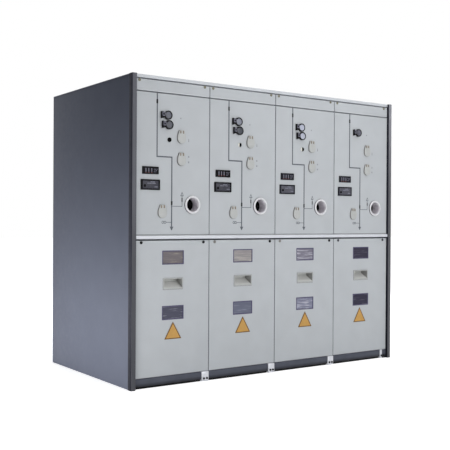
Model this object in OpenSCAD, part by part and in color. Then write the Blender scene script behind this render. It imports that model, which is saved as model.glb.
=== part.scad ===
// Medium-voltage switchgear lineup: four units side by side on one base.
// Sizes are in millimetres. X runs along the front, Y to the back, Z up.
// The origin is on the floor, under the middle of the lineup's box.

/* [Lineup] */
// Width of one unit, from seam to seam
unit_w = 420; // [380:5:600]
// Depth from the door face to the rear face
depth = 922; // [760:1:1100]
// Depth of the front panels, back to the face of the housings
front_d = 60; // [58:1:90]
// Width of the groove between neighbouring front panels
panel_gap = 4; // [2:0.5:8]
// Thickness of the roof plates
roof_t = 3; // [2:0.5:6]
// Thickness of the rear plates
rear_t = 3; // [2:0.5:6]
// Bare margin round each rear plate
rear_edge = 8; // [4:1:20]

/* [Heights] */
// Height of the base
plinth_h = 49; // [40:1:120]
// Groove between the base and the cable cover
cover_lift = 2; // [1:0.5:6]
// Groove between the cable cover and the middle strip
strip_lift = 7.5; // [2:0.5:14]
// Height of the middle strip
strip_h = 17.5; // [10:0.5:30]
// How far the middle strip stands out of the door face
strip_out = 7; // [2:0.5:12]
// Groove between the middle strip and the mechanism panel
mech_lift = 2.5; // [1:0.5:8]
// Height of the mechanism panel
mech_h = 682; // [660:1:800]
// Groove between the mechanism panel and the header panel
header_lift = 3.5; // [1:0.5:8]
// Height of the header panel
header_h = 56.5; // [40:0.5:90]
// Groove between the header panel and the top strip
top_lift = 3.5; // [1:0.5:8]
// Height of the top strip
top_h = 16.5; // [8:0.5:30]

/* [End panels] */
// Width of a corner post on the front
post_w = 25; // [20:1:50]
// How far a corner post stands out of the door face
post_out = 13; // [6:1:14]
// How far a corner post wraps round the side
post_wrap = 18; // [14:1:50]
// Rounding of a corner post's outer front edge
post_r = 5; // [2:0.5:8]
// How far the side panel lies in from the post
side_inset = 1.5; // [0.5:0.5:4]
// Bare margin round the skin of the side panel
skin_edge = 12; // [6:1:30]
// Depth of the step from the skin to its margin
skin_step = 2; // [1:0.5:4]

/* [Viewing port] */
// Distance of the port's centre from the unit's right seam
port_in = 101.5; // [90:0.5:120]
// Height of the port's centre above the panel's lower edge
port_up = 147.5; // [90:0.5:160]
// Bore of the port
port_d = 68; // [40:1:72]
// Width of the ring's bevel on the panel
port_bevel = 8; // [4:0.5:12]
// How far the inner rim stands out of the panel
port_rim = 8; // [2:0.5:10]
// Wall of the sleeve
sleeve_wall = 3; // [2:0.5:6]
// Depth of the sleeve behind the panel's face
sleeve_d = 53; // [40:1:54]
// Thickness of the glass at the sleeve's end
port_glass_t = 4; // [3:0.5:6]

/* [Cable cover] */
// Height of the marker plate's foot above the cover's lower edge
marker_up = 176; // [100:1:200]
// Width of a marker plate at its foot
marker_w = 95; // [80:1:110]
// Height of a marker plate
marker_h = 83; // [70:1:90]
// Thickness of a marker plate
marker_t = 2; // [1:0.5:3]
// How far the last unit's marker plate lies left of the middle
last_marker_in = 8; // [0:1:20]
// Gap from the marker plate up to the lower window
lower_window_gap = 11; // [5:0.5:40]
// Gap from the lower window up to the pull
pull_gap = 77.5; // [40:0.5:100]
// Gap from the pull up to the upper window
upper_window_gap = 64.5; // [40:0.5:80]
// Plain height of the cover above the upper window
cover_head = 48; // [30:0.5:80]

/* [Windows] */
// Width of a window
window_w = 123; // [80:1:200]
// Height of a window
window_h = 68; // [50:1:90]
// Thickness of a pane
pane_t = 4; // [3:0.5:6]
// How far a pane lies behind the cover's face
pane_set = 2; // [1:0.5:5]
// Depth of the space behind a pane
window_deep = 40; // [20:1:48]

/* [Pull handle] */
// Width of the pull's flange
pull_w = 114; // [100:1:160]
// Height of the pull's flange
pull_h = 57.5; // [48:0.5:80]
// Thickness of the flange on the cover
pull_lip = 1.5; // [1:0.5:3]
// Width of the flange that lies on the cover
pull_flange = 3; // [2:0.5:6]
// Wall of the pull's cup
pull_wall = 2; // [1.5:0.5:4]
// Height of the plain lip below the finger space
pull_foot = 9; // [4:0.5:16]
// Depth of the finger space
pull_deep = 50; // [30:1:54]
// Height of the finger space at its back
pull_grip = 16; // [12:1:24]

/* [Push buttons] */
// Distance of the upper hinge block's left edge from the left seam
close_x = 137; // [120:1:145]
// Drop from the panel's upper edge to the upper button's centre
close_drop = 104.5; // [60:0.5:120]
// How far the lower button lies right of the upper one
open_shift = 6; // [0:1:10]
// How far the last unit's button lies right of the others
last_shift = 6; // [0:1:10]
// Width of a guard's hinge block
hinge_w = 24; // [20:1:30]
// Height of a guard's hinge block
hinge_h = 35; // [30:1:40]
// How far a hinge block stands out of the panel
hinge_out = 13; // [10:1:16]
// Diameter of a guard's ring
ring_d = 44; // [40:1:48]
// Gap between the rings of two buttons
ring_gap = 2; // [1:0.5:8]
// Wall of a guard's ring
ring_wall = 2.5; // [2:0.5:5]
// How far a ring stands out of the panel
ring_out = 10; // [8:1:14]
// Distance from the block's left edge to the ring's centre
ring_x = 38; // [34:1:44]
// Depth of a lid's face inside its ring
lid_set = 1.5; // [1:0.5:3]
// Thickness of a lid
lid_t = 3; // [2:0.5:5]

/* [Instruments] */
// Distance of the instruments' middle from the left seam
case_x = 80.5; // [70:0.5:90]
// Height of the fault display's centre above the panel's edge
fault_up = 240; // [200:1:260]
// Width of the fault display
fault_w = 104; // [90:1:112]
// Height of the fault display
fault_h = 50; // [40:1:56]
// Gap from the fault display up to the voltage indicator
volt_gap = 25.5; // [10:0.5:40]
// Width of the voltage indicator
volt_w = 89; // [70:1:96]
// Height of the voltage indicator
volt_h = 36; // [30:1:44]
// How far an instrument stands out of the panel
case_out = 5; // [4:0.5:10]
// Rounding of an instrument's corners
case_r = 3; // [2:0.5:6]
// Width of the rim round the fault display's screen
case_rim = 8; // [5:0.5:12]
// How far the screen lies behind its rim
screen_set = 1.5; // [1:0.5:3]
// Diameter of the spring indicator
eye_d = 22; // [14:1:26]
// Gap from the lower button's ring down to the spring indicator
eye_gap = 38.5; // [20:0.5:50]
// How far the spring indicator lies right of the lower button's middle
eye_shift = 4.5; // [0:0.5:12]
// How far the spring indicator stands out of the panel
eye_out = 3; // [2:0.5:6]

/* [Operating sockets] */
// Width of a socket cap
cap_w = 47; // [40:1:52]
// Height of a socket cap
cap_h = 65; // [50:1:75]
// How far a cap stands out of the panel
cap_out = 9; // [6:0.5:14]
// Width of the step round a cap's face
cap_step = 3; // [2:0.5:5]
// Rounding of a cap's corners
cap_r = 14; // [8:1:18]
// Gap from the lower button's ring to the caps on its right
cap_gap = 26; // [15:1:40]
// Drop from the panel's upper edge to the breaker socket's centre
breaker_drop = 203.5; // [170:0.5:240]
// Gap from the breaker socket down to the isolator socket
isolator_gap = 44; // [20:1:60]
// Distance of the earthing socket from the left seam
earth_x = 146; // [135:1:160]
// Height of the earthing socket above the panel's lower edge
earth_up = 113.5; // [90:0.5:140]

/* [Base] */
// Sheet of the kick plates
kick_t = 3; // [2:0.5:5]
// How far a kick plate lies behind the door face
kick_set = 2; // [0:0.5:20]
// Depth of a kick plate's upper fold
kick_d = 90; // [85:1:110]
// Height of the dark foot under a kick plate
foot_h = 10; // [5:1:20]
// How far the foot lies behind its kick plate
foot_set = 10; // [5:1:30]
// Width of a base runner
runner_w = 41; // [30:1:44]
// Wall of a base runner
runner_wall = 4; // [3:0.5:6]
// Distance from a runner's left edge to the unit's right seam
runner_in = 39.5; // [30:0.5:60]
// The same distance for the last runner
last_runner_in = 46; // [46:0.5:80]
// Gap on each side of a base runner
runner_gap = 2; // [1:0.5:4]
// Width of the dark filler plate at the right end of the base
filler_w = 27; // [20:1:40]
// Depth of the rear kick plate
rear_kick_d = 30; // [20:1:60]

/* [Hidden] */
units = 4;
$fn = 96;
tiny = 0.01;
row_w = units * unit_w;
// Heights of the rows, each from the one below it
cover_z = plinth_h + cover_lift;
marker_z = cover_z + marker_up;
lower_window_z = marker_z + marker_h + lower_window_gap;
pull_z = lower_window_z + window_h + pull_gap;
upper_window_z = pull_z + pull_h + upper_window_gap;
cover_h = upper_window_z + window_h + cover_head - cover_z;
strip_z = cover_z + cover_h + strip_lift;
mech_z = strip_z + strip_h + mech_lift;
header_z = mech_z + mech_h + header_lift;
top_z = header_z + header_h + top_lift;
height = top_z + top_h;
// The piece that stands out farthest sets the front of the box
front_out = max(post_out, hinge_out, ring_out, cap_out, strip_out, port_rim, case_out);
front_y = (front_out - depth) / 2;
panel_w = unit_w - panel_gap;
mid_x = unit_w / 2;
// Places on the mechanism panel
port_x = unit_w - port_in;
port_z = mech_z + port_up;
sleeve_r = port_d / 2 + sleeve_wall;
close_z = mech_z + mech_h - close_drop;
open_z = close_z - ring_d - ring_gap;
open_x = close_x + open_shift;
eye_x = open_x + ring_x + eye_shift;
eye_z = open_z - ring_d / 2 - eye_gap - eye_d / 2;
cap_x = open_x + ring_x + ring_d / 2 + cap_gap + cap_w / 2;
breaker_z = mech_z + mech_h - breaker_drop;
isolator_z = breaker_z - cap_h - isolator_gap;
earth_z = mech_z + earth_up;
fault_z = mech_z + fault_up;
volt_z = fault_z + fault_h / 2 + volt_gap + volt_h / 2;
light = [0.72, 0.74, 0.76];
dark = [0.30, 0.31, 0.36];
black = [0.07, 0.07, 0.08];

// Node to draw, or all of them

// Moves the front left corner frame onto the lineup's own origin.
module place() {
    translate([-row_w / 2, front_y, 0]) children();
}

// Repeats a piece at the left seam of each unit, up to the last one asked for.
module each_unit(last = units) {
    for (i = [1 : last]) unit_at(i) children();
}

// Moves a piece to the left seam of one unit.
module unit_at(i) {
    translate([(i - 1) * unit_w, 0, 0]) children();
}

// Turns a flat outline so that it stands on the door face and grows to the front.
module on_front(x, z, out = 0) {
    translate([x, -out, z]) rotate([90, 0, 0]) children();
}

// Turns a flat outline so that it grows from the door face to the back.
module into_front(x, z, back = 0) {
    translate([x, back, z]) rotate([-90, 0, 0]) children();
}

// Plate with rounded corners, centred on its outline.
module round_plate(w, h, t, r) {
    linear_extrude(t) {
        square([w - 2 * r, h], center = true);
        square([w, h - 2 * r], center = true);
        for (sx = [-1, 1], sy = [-1, 1])
            translate([sx * (w / 2 - r), sy * (h / 2 - r)]) circle(r);
    }
}

// Plain front panel of one unit, modelled closed.
module front_panel(z, h) {
    translate([panel_gap / 2, 0, z]) cube([panel_w, front_d, h]);
}

// Side panel with a skin that stands a step out of its margin.
module side_panel() {
    t = post_w - side_inset;
    color(dark) difference() {
        translate([-t, post_wrap, 0]) cube([t, depth - post_wrap, height]);
        // the margin along the top, the back and the foot
        translate([-t - tiny, post_wrap - tiny, height - skin_edge])
            cube([skin_step + tiny, depth, skin_edge + tiny]);
        translate([-t - tiny, depth - skin_edge, -tiny])
            cube([skin_step + tiny, skin_edge + tiny, height + 2 * tiny]);
        translate([-t - tiny, post_wrap - tiny, -tiny])
            cube([skin_step + tiny, depth, skin_edge + tiny]);
    }
}

// Corner post: a closed profile with a rounded outer front edge.
module corner_post() {
    d = post_out + post_wrap;
    color(dark) linear_extrude(height) {
        translate([-post_w, -post_out + post_r]) square([post_w, d - post_r]);
        translate([-post_w + post_r, -post_out]) square([post_w - post_r, d]);
        translate([-post_w + post_r, -post_out + post_r]) circle(post_r);
    }
}

module left_side_panel() {
    place() side_panel();
}

module right_side_panel() {
    place() translate([row_w, 0, 0]) mirror([1, 0, 0]) side_panel();
}

module left_corner_post() {
    place() corner_post();
}

module right_corner_post() {
    place() translate([row_w, 0, 0]) mirror([1, 0, 0]) corner_post();
}

// Closed housing of one unit, behind its front panels.
module cabinet(i) {
    color(light) place() unit_at(i)
        translate([0, front_d, plinth_h])
            cube([unit_w, depth - front_d - rear_t, height - roof_t - plinth_h]);
}

module header_panel(i) {
    color(light) place() unit_at(i) front_panel(header_z, header_h);
}

// Mechanism panel with the hole for the viewing port.
module mechanism_panel(i) {
    color(light) place() unit_at(i) difference() {
        front_panel(mech_z, mech_h);
        into_front(port_x, port_z, -tiny) cylinder(r = sleeve_r, h = front_d + 2 * tiny);
    }
}

// Space behind one pane of the cable cover, centred on the unit.
module window_space(z) {
    translate([mid_x - window_w / 2, -tiny, z])
        cube([window_w, pane_set + pane_t + window_deep + tiny, window_h]);
}

// Cable cover with two windows and the cut-out for its pull.
module cable_cover(i) {
    cut_w = pull_w - 2 * pull_flange;
    cut_h = pull_h - 2 * pull_flange;
    color(light) place() unit_at(i) difference() {
        front_panel(cover_z, cover_h);
        window_space(upper_window_z);
        window_space(lower_window_z);
        translate([mid_x - cut_w / 2, -tiny, pull_z + pull_flange])
            cube([cut_w, front_d + 2 * tiny, cut_h]);
    }
}

// Viewing port: a bevelled ring on the panel and a sleeve behind it.
module viewing_port(i) {
    deep = sleeve_d + port_glass_t;
    color(light) place() unit_at(i) difference() {
        union() {
            on_front(port_x, port_z)
                cylinder(r1 = sleeve_r + port_bevel, r2 = sleeve_r, h = port_rim);
            into_front(port_x, port_z) cylinder(r = sleeve_r, h = deep);
        }
        on_front(port_x, port_z, -deep - tiny) cylinder(d = port_d, h = deep + port_rim + 2 * tiny);
    }
}

// Dark glasses that close the sleeves.
module port_glasses() {
    color(black) place() each_unit()
        into_front(port_x, port_z, sleeve_d) cylinder(d = port_d, h = port_glass_t);
}

// Flush pull: a flange and a cup whose floor slopes up to the finger space.
module pull_handle(i) {
    cup_w = pull_w - 2 * pull_flange;
    cup_h = pull_h - 2 * pull_flange;
    in_w = cup_w - 2 * pull_wall;
    foot = pull_flange + pull_wall + pull_foot;
    head = pull_h - pull_flange - pull_wall;
    color(light) place() unit_at(i) translate([mid_x, 0, pull_z]) difference() {
        union() {
            translate([-pull_w / 2, -pull_lip, 0]) cube([pull_w, pull_lip, pull_h]);
            translate([-cup_w / 2, 0, pull_flange]) cube([cup_w, pull_deep + pull_wall, cup_h]);
        }
        // the finger space, drawn from the side
        translate([-in_w / 2, 0, 0]) rotate([90, 0, 90]) linear_extrude(in_w)
            polygon([
                [-pull_lip - tiny, foot],
                [-pull_lip - tiny, head],
                [pull_deep, head],
                [pull_deep, head - pull_grip]
            ]);
    }
}

// Panes of one row of windows.
module window_row(z) {
    color([0.35, 0.36, 0.42]) place() each_unit()
        translate([mid_x - window_w / 2, pane_set, z]) cube([window_w, pane_t, window_h]);
}

module upper_windows() {
    window_row(upper_window_z);
}

module lower_windows() {
    window_row(lower_window_z);
}

// Cap over one operating socket, with a step round its face.
module socket_cap(x, z) {
    on_front(x, z) {
        round_plate(cap_w, cap_h, cap_out - cap_step, cap_r);
        round_plate(cap_w - 2 * cap_step, cap_h - 2 * cap_step, cap_out, cap_r - cap_step);
    }
}

module socket_caps() {
    color([0.80, 0.79, 0.76]) place() each_unit() {
        socket_cap(cap_x, breaker_z);
        socket_cap(cap_x, isolator_z);
        socket_cap(earth_x, earth_z);
    }
}

// Guard of one push button: a hinge block on the left and a ring.
module button_guard(x, z) {
    difference() {
        union() {
            translate([x, -hinge_out, z - hinge_h / 2]) cube([hinge_w, hinge_out, hinge_h]);
            on_front(x + ring_x, z) cylinder(d = ring_d, h = ring_out);
        }
        on_front(x + ring_x, z, ring_out - lid_set - lid_t)
            cylinder(d = ring_d - 2 * ring_wall, h = hinge_out);
    }
}

// Lid that lies in the ring of one guard.
module button_lid(x, z) {
    on_front(x + ring_x, z, ring_out - lid_set - lid_t)
        cylinder(d = ring_d - 2 * ring_wall, h = lid_t);
}

// The last unit has no breaker, so it has the upper button only.
module button_guards() {
    color(black) place() {
        each_unit(units - 1) {
            button_guard(close_x, close_z);
            button_guard(open_x, open_z);
        }
        unit_at(units) button_guard(close_x + last_shift, close_z);
    }
}

module button_lids() {
    color([0.45, 0.46, 0.50]) place() {
        each_unit(units - 1) {
            button_lid(close_x, close_z);
            button_lid(open_x, open_z);
        }
        unit_at(units) button_lid(close_x + last_shift, close_z);
    }
}

module voltage_indicators() {
    color(black) place() each_unit()
        on_front(case_x, volt_z) round_plate(volt_w, volt_h, case_out, case_r);
}

// Fault display: a case whose screen lies behind its rim.
module fault_displays() {
    color(black) place() each_unit() difference() {
        on_front(case_x, fault_z) round_plate(fault_w, fault_h, case_out, case_r);
        translate([
            case_x - fault_w / 2 + case_rim,
            -case_out - tiny,
            fault_z - fault_h / 2 + case_rim
        ]) cube([fault_w - 2 * case_rim, screen_set + tiny, fault_h - 2 * case_rim]);
    }
}

module spring_indicators() {
    color([0.85, 0.85, 0.85]) place() each_unit(units - 1)
        on_front(eye_x, eye_z) cylinder(d = eye_d, h = eye_out);
}

// Blank three-sided plate on a cable cover.
module marker_plate(x) {
    on_front(x, marker_z) linear_extrude(marker_t)
        polygon([[-marker_w / 2, 0], [marker_w / 2, 0], [0, marker_h]]);
}

module marker_plates() {
    color([0.85, 0.62, 0.22]) place() {
        each_unit(units - 1) marker_plate(mid_x);
        unit_at(units) marker_plate(mid_x - last_marker_in);
    }
}

module top_strip() {
    color([0.80, 0.83, 0.85]) place() translate([0, 0, top_z]) cube([row_w, front_d, top_h]);
}

module middle_strip() {
    color([0.88, 0.89, 0.92]) place()
        translate([0, -strip_out, strip_z]) cube([row_w, front_d + strip_out, strip_h]);
}

module roof_plates() {
    color(light) place() each_unit()
        translate([panel_gap / 2, front_d, height - roof_t])
            cube([panel_w, depth - front_d, roof_t]);
}

module rear_plates() {
    plate_h = height - roof_t - plinth_h - 2 * rear_edge;
    color(light) place() each_unit()
        translate([rear_edge, depth - rear_t, plinth_h + rear_edge])
            cube([unit_w - 2 * rear_edge, rear_t, plate_h]);
}

// Folded plate along the foot of the front, from one place along X to another.
module kick_plate(from, to) {
    top = plinth_h;
    low = foot_h + kick_t;
    translate([from, kick_set, 0]) rotate([90, 0, 90]) linear_extrude(to - from)
        polygon([
            [0, foot_h], [0, top], [kick_d, top], [kick_d, top - kick_t],
            [kick_t, top - kick_t], [kick_t, low], [foot_set + kick_t, low],
            [foot_set + kick_t, 0], [foot_set, 0], [foot_set, foot_h]
        ]);
}

// Left edge of the runner at the right end of a unit.
function runner_x(i) = i * unit_w - (i < units ? runner_in : last_runner_in);

// Right edge of the runner before a unit, or of the post before the first.
function kick_from(i) = i == 1 ? 0 : runner_x(i - 1) + runner_w + runner_gap;

module kick_plates() {
    color(dark) place() {
        for (i = [1 : units]) kick_plate(kick_from(i), runner_x(i) - runner_gap);
        translate([row_w - filler_w, kick_set, 0]) cube([filler_w, kick_t, plinth_h]);
    }
}

// Open channel that carries the units from front to back.
module base_runner(x, front) {
    run = depth - rear_kick_d - front;
    translate([x, front, 0]) difference() {
        cube([runner_w, run, plinth_h]);
        translate([runner_wall, runner_wall, -tiny])
            cube([runner_w - 2 * runner_wall, run, plinth_h - runner_wall + tiny]);
    }
}

module base_runners() {
    color([0.80, 0.81, 0.85]) place() {
        for (i = [1 : units - 1]) base_runner(runner_x(i), 0);
        base_runner(runner_x(units), kick_set + kick_t);
    }
}

module rear_kick() {
    color(dark) place() translate([0, depth - rear_kick_d, 0])
        cube([row_w, rear_kick_d - rear_t, plinth_h]);
}

left_side_panel();
right_side_panel();
left_corner_post();
right_corner_post();
cabinet(1);  // cabinet_1
cabinet(2);  // cabinet_2
cabinet(3);  // cabinet_3
cabinet(4);  // cabinet_4
header_panel(1);  // header_panel_1
header_panel(2);  // header_panel_2
header_panel(3);  // header_panel_3
header_panel(4);  // header_panel_4
mechanism_panel(1);  // mechanism_panel_1
mechanism_panel(2);  // mechanism_panel_2
mechanism_panel(3);  // mechanism_panel_3
mechanism_panel(4);  // mechanism_panel_4
cable_cover(1);  // cable_cover_1
cable_cover(2);  // cable_cover_2
cable_cover(3);  // cable_cover_3
cable_cover(4);  // cable_cover_4
viewing_port(1);  // viewing_port_1
viewing_port(2);  // viewing_port_2
viewing_port(3);  // viewing_port_3
viewing_port(4);  // viewing_port_4
pull_handle(1);  // pull_handle_1
pull_handle(2);  // pull_handle_2
pull_handle(3);  // pull_handle_3
pull_handle(4);  // pull_handle_4
port_glasses();
upper_windows();
lower_windows();
socket_caps();
button_guards();
button_lids();
voltage_indicators();
fault_displays();
spring_indicators();
marker_plates();
top_strip();
middle_strip();
roof_plates();
rear_plates();
kick_plates();
base_runners();
rear_kick();
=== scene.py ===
# %% [markdown]
# # A medium-voltage switchgear lineup
# Four steel units stand side by side on one base: dark end panels and corner posts, light grey
# doors, and small mouldings on the doors. This lesson dresses the plain solids of that lineup.
# Each step first says what the real piece is, then how it could be made and why one way was taken.

from math import radians

import bmesh
import bpy
from mathutils import Matrix, Vector


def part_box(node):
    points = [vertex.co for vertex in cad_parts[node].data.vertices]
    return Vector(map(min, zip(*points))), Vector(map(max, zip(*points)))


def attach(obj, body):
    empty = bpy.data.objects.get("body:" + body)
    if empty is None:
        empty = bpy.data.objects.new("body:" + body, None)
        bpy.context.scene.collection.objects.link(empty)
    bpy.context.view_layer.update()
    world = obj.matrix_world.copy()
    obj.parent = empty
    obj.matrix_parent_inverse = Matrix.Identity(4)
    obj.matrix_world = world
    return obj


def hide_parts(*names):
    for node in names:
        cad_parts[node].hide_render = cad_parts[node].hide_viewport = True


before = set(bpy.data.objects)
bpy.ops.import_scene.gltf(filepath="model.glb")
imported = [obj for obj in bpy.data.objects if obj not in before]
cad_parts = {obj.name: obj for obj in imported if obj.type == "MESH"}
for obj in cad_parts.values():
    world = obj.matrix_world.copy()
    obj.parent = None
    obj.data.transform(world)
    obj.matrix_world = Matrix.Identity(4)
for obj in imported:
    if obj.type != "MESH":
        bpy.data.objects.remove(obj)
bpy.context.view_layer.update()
print("nodes in the frame:", len(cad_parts))

# %% [markdown]
# ## Places taken from the solids
# A piece that is placed by eye drifts as soon as a size changes. So every place below is read from
# the solids: the seams of the units from their housings, the door face from a mechanism panel.
# Sizes that only the dressing needs are written in millimetres and turned into metres with MM.

# %% Seams and faces
MM = 0.001
UNITS = (1, 2, 3, 4)
seams = [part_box(f"cabinet_{unit}")[0].x for unit in UNITS]
unit_w = seams[1] - seams[0]
next_unit = Vector((unit_w, 0, 0))
door_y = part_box("mechanism_panel_1")[0].y
print("unit width", round(unit_w, 4), "door face at y", round(door_y, 4))

# %% [markdown]
# ## The camera
# The photograph was taken from the left, at chest height, with a long lens. The seams and rows of
# the lineup give the lens and the place of the camera by least squares, so both are plain numbers
# here. The picture is square, and the lens is worked out from its width in pixels.

# %% Camera
PICTURE_W = 450
FOCAL_PIXELS = 802.74
SENSOR_MM = 36
CAMERA_AT = Vector((-2.6560, -3.7935, 0.7995))
CAMERA_TURN = -34.933
CAMERA_TIP = -0.267
CAMERA_ROLL = 0.322

bpy.ops.object.select_all(action="DESELECT")
bpy.ops.object.camera_add()
camera = bpy.context.object
camera.name = "camera"
camera.data.sensor_width = SENSOR_MM
camera.data.lens = SENSOR_MM * FOCAL_PIXELS / PICTURE_W
turn = Matrix.Rotation(radians(CAMERA_TURN), 4, "Z")
tip = Matrix.Rotation(radians(90 + CAMERA_TIP), 4, "X")
roll = Matrix.Rotation(radians(CAMERA_ROLL), 4, "Z")
camera.matrix_world = Matrix.Translation(CAMERA_AT) @ turn @ tip @ roll
bpy.context.scene.camera = camera
bpy.context.scene.view_settings.view_transform = "Standard"
print("lens", round(camera.data.lens, 2), "mm")

# %% [markdown]
# ## Colours
# A paint chart gives colours as they look on a screen, from 0 to 255. A shader wants the amount of
# light that comes back, which is not the same scale. One small function turns the first into the
# second, so that the colours below can be read like a paint chart.

# %% Colour helper
def tone(red, green, blue):
    """Shader colour of a screen colour given from 0 to 255."""
    linear = []
    for value in (red, green, blue):
        share = value / 255
        linear.append(share / 12.92 if share <= 0.04045 else ((share + 0.055) / 1.055) ** 2.4)
    return (*linear, 1.0)


print("mid grey", [round(value, 3) for value in tone(128, 128, 128)])

# %% [markdown]
# ## Studio
# The lineup is shown on white. The sky is white where the camera, a gloss or a glass looks at it,
# and a soft dim light for everything else, so the doors are lit by lamps and not by the background.
# The floor is pale and adds light of its own for the camera: little beside the lineup, where its
# shadow has to show, and more with every metre, so that the floor runs into the white of the sky.

# %% Sky
AMBIENT = 0.16
SKY_TINT = (0.93, 0.96, 1.0, 1.0)
WHITE = (1.0, 1.0, 1.0, 1.0)


def background_rays(tree):
    """Output that is 1 for the rays that show the background: camera, gloss and glass."""
    path = tree.nodes.new("ShaderNodeLightPath")
    either = tree.nodes.new("ShaderNodeMath")
    either.operation = "MAXIMUM"
    any_of_them = tree.nodes.new("ShaderNodeMath")
    any_of_them.operation = "MAXIMUM"
    tree.links.new(path.outputs["Is Camera Ray"], either.inputs[0])
    tree.links.new(path.outputs["Is Glossy Ray"], either.inputs[1])
    tree.links.new(either.outputs[0], any_of_them.inputs[0])
    tree.links.new(path.outputs["Is Transmission Ray"], any_of_them.inputs[1])
    return any_of_them.outputs[0]


world = bpy.data.worlds.new("studio")
bpy.context.scene.world = world
world.use_nodes = True
sky = world.node_tree
dim = sky.nodes["Background"]
dim.inputs["Color"].default_value = SKY_TINT
dim.inputs["Strength"].default_value = AMBIENT
white = sky.nodes.new("ShaderNodeBackground")
white.inputs["Color"].default_value = WHITE
white.inputs["Strength"].default_value = 1.0
choice = sky.nodes.new("ShaderNodeMixShader")
sky.links.new(background_rays(sky), choice.inputs["Fac"])
sky.links.new(dim.outputs[0], choice.inputs[1])
sky.links.new(white.outputs[0], choice.inputs[2])
sky.links.new(choice.outputs[0], sky.nodes["World Output"].inputs["Surface"])
print("sky light", AMBIENT)

# %% Floor
FLOOR_SIZE = 60
FLOOR_GREY = (0.80, 0.80, 0.80, 1.0)
GLOW_NEAR = 0.74
GLOW_FAR = 1.0
NEAR_M = 1.2
FAR_M = 3.4

bpy.ops.object.select_all(action="DESELECT")
bpy.ops.mesh.primitive_plane_add(size=FLOOR_SIZE)
floor = bpy.context.object
floor.name = "floor"
pale = bpy.data.materials.new("floor_pale")
pale.use_nodes = True
ground = pale.node_tree
matt = ground.nodes["Principled BSDF"]
matt.inputs["Base Color"].default_value = FLOOR_GREY
matt.inputs["Roughness"].default_value = 1.0
matt.inputs["Specular IOR Level"].default_value = 0.0
glow = ground.nodes.new("ShaderNodeEmission")
spot = ground.nodes.new("ShaderNodeTexCoord")
away = ground.nodes.new("ShaderNodeVectorMath")
away.operation = "LENGTH"
fade = ground.nodes.new("ShaderNodeMapRange")
fade.interpolation_type = "SMOOTHSTEP"
for name, value in (("From Min", NEAR_M), ("From Max", FAR_M), ("To Min", GLOW_NEAR), ("To Max", GLOW_FAR)):
    fade.inputs[name].default_value = value
ground.links.new(spot.outputs["Object"], away.inputs[0])
ground.links.new(away.outputs["Value"], fade.inputs["Value"])
ground.links.new(fade.outputs["Result"], glow.inputs["Strength"])
nothing = ground.nodes.new("ShaderNodeEmission")
nothing.inputs["Strength"].default_value = 0.0
seen = ground.nodes.new("ShaderNodeMixShader")
both = ground.nodes.new("ShaderNodeAddShader")
ground.links.new(background_rays(ground), seen.inputs["Fac"])
ground.links.new(nothing.outputs[0], seen.inputs[1])
ground.links.new(glow.outputs[0], seen.inputs[2])
ground.links.new(matt.outputs[0], both.inputs[0])
ground.links.new(seen.outputs[0], both.inputs[1])
ground.links.new(both.outputs[0], ground.nodes["Material Output"].inputs["Surface"])
floor.data.materials.append(pale)
print("floor", FLOOR_SIZE, "m")

# %% [markdown]
# ## Lamps
# The doors are lit from the front and a little from the right, so the left sides of the mouldings
# are dark; on the caps and the pulls that shade is painted on as well. A weak lamp above brightens
# the headers. The left end panel gets its light from a long low lamp beside it: it is brighter at the
# foot than at the top. The right end, the back and the roof have lamps of their own, so that the
# lineup can be walked round. Soft lamps are large ones, so all of them are areas.

# %% Area lamps
def area_lamp(name, at, aim, size, watts):
    """Adds a soft lamp of a width and height, turned to the point that it lights."""
    bpy.ops.object.select_all(action="DESELECT")
    bpy.ops.object.light_add(type="AREA", location=at)
    lamp = bpy.context.object
    lamp.name = name
    lamp.data.shape = "RECTANGLE"
    lamp.data.size, lamp.data.size_y = size
    lamp.data.energy = watts
    lamp.rotation_euler = (Vector(aim) - Vector(at)).to_track_quat("-Z", "Y").to_euler()
    lamp.visible_camera = False
    print(name, "at", at, watts, "W")


area_lamp("front_lamp", (0.5, -4.0, 1.55), (0.0, -0.4, 0.76), (2.8, 2.2), 76)
area_lamp("upper_lamp", (0.55, -1.5, 3.4), (0.35, -0.1, 1.45), (1.5, 1.5), 22)
area_lamp("side_lamp", (-1.75, -0.22, 0.07), (-0.87, -0.22, 0.07), (1.9, 0.20), 18.5)
area_lamp("right_lamp", (4.2, 0.6, 1.7), (0.87, 0.0, 0.75), (2.2, 1.8), 75)
area_lamp("rear_lamp", (0.9, 4.2, 2.0), (0.0, 0.47, 0.75), (2.8, 2.0), 90)
area_lamp("roof_lamp", (0.0, 0.9, 4.3), (0.0, 0.2, 1.49), (1.5, 1.5), 70)

# %% [markdown]
# ## Modelling helpers
# An operator acts on what is selected, as a hand does on what it holds. These helpers let go of
# everything, add a block at its size and place, and pick the faces, edges or corners of the open
# piece by a test on their place. A block is only ever the start of a piece.

# %% Selection and blocks
def let_go():
    """Leaves edit mode and deselects everything."""
    if bpy.context.mode != "OBJECT":
        bpy.ops.object.mode_set(mode="OBJECT")
    bpy.ops.object.select_all(action="DESELECT")


def take(piece):
    """Makes a piece the only selected one."""
    let_go()
    piece.select_set(True)
    bpy.context.view_layer.objects.active = piece


def reopen(piece):
    """Opens a piece in edit mode with everything selected."""
    take(piece)
    bpy.ops.object.mode_set(mode="EDIT")
    bpy.ops.mesh.select_all(action="SELECT")


def open_new(name):
    """Names the primitive that was just added, puts its place in its mesh and opens it."""
    piece = bpy.context.object
    piece.name = name
    piece.data.name = name
    bpy.ops.object.transform_apply(location=True, rotation=True, scale=True)
    bpy.ops.object.mode_set(mode="EDIT")
    return piece


def start_block(name, low, high):
    """Adds a block between two corners and opens it in edit mode."""
    let_go()
    low, high = Vector(low), Vector(high)
    bpy.ops.mesh.primitive_cube_add(size=1, location=(low + high) / 2, scale=high - low)
    return open_new(name)


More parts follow.
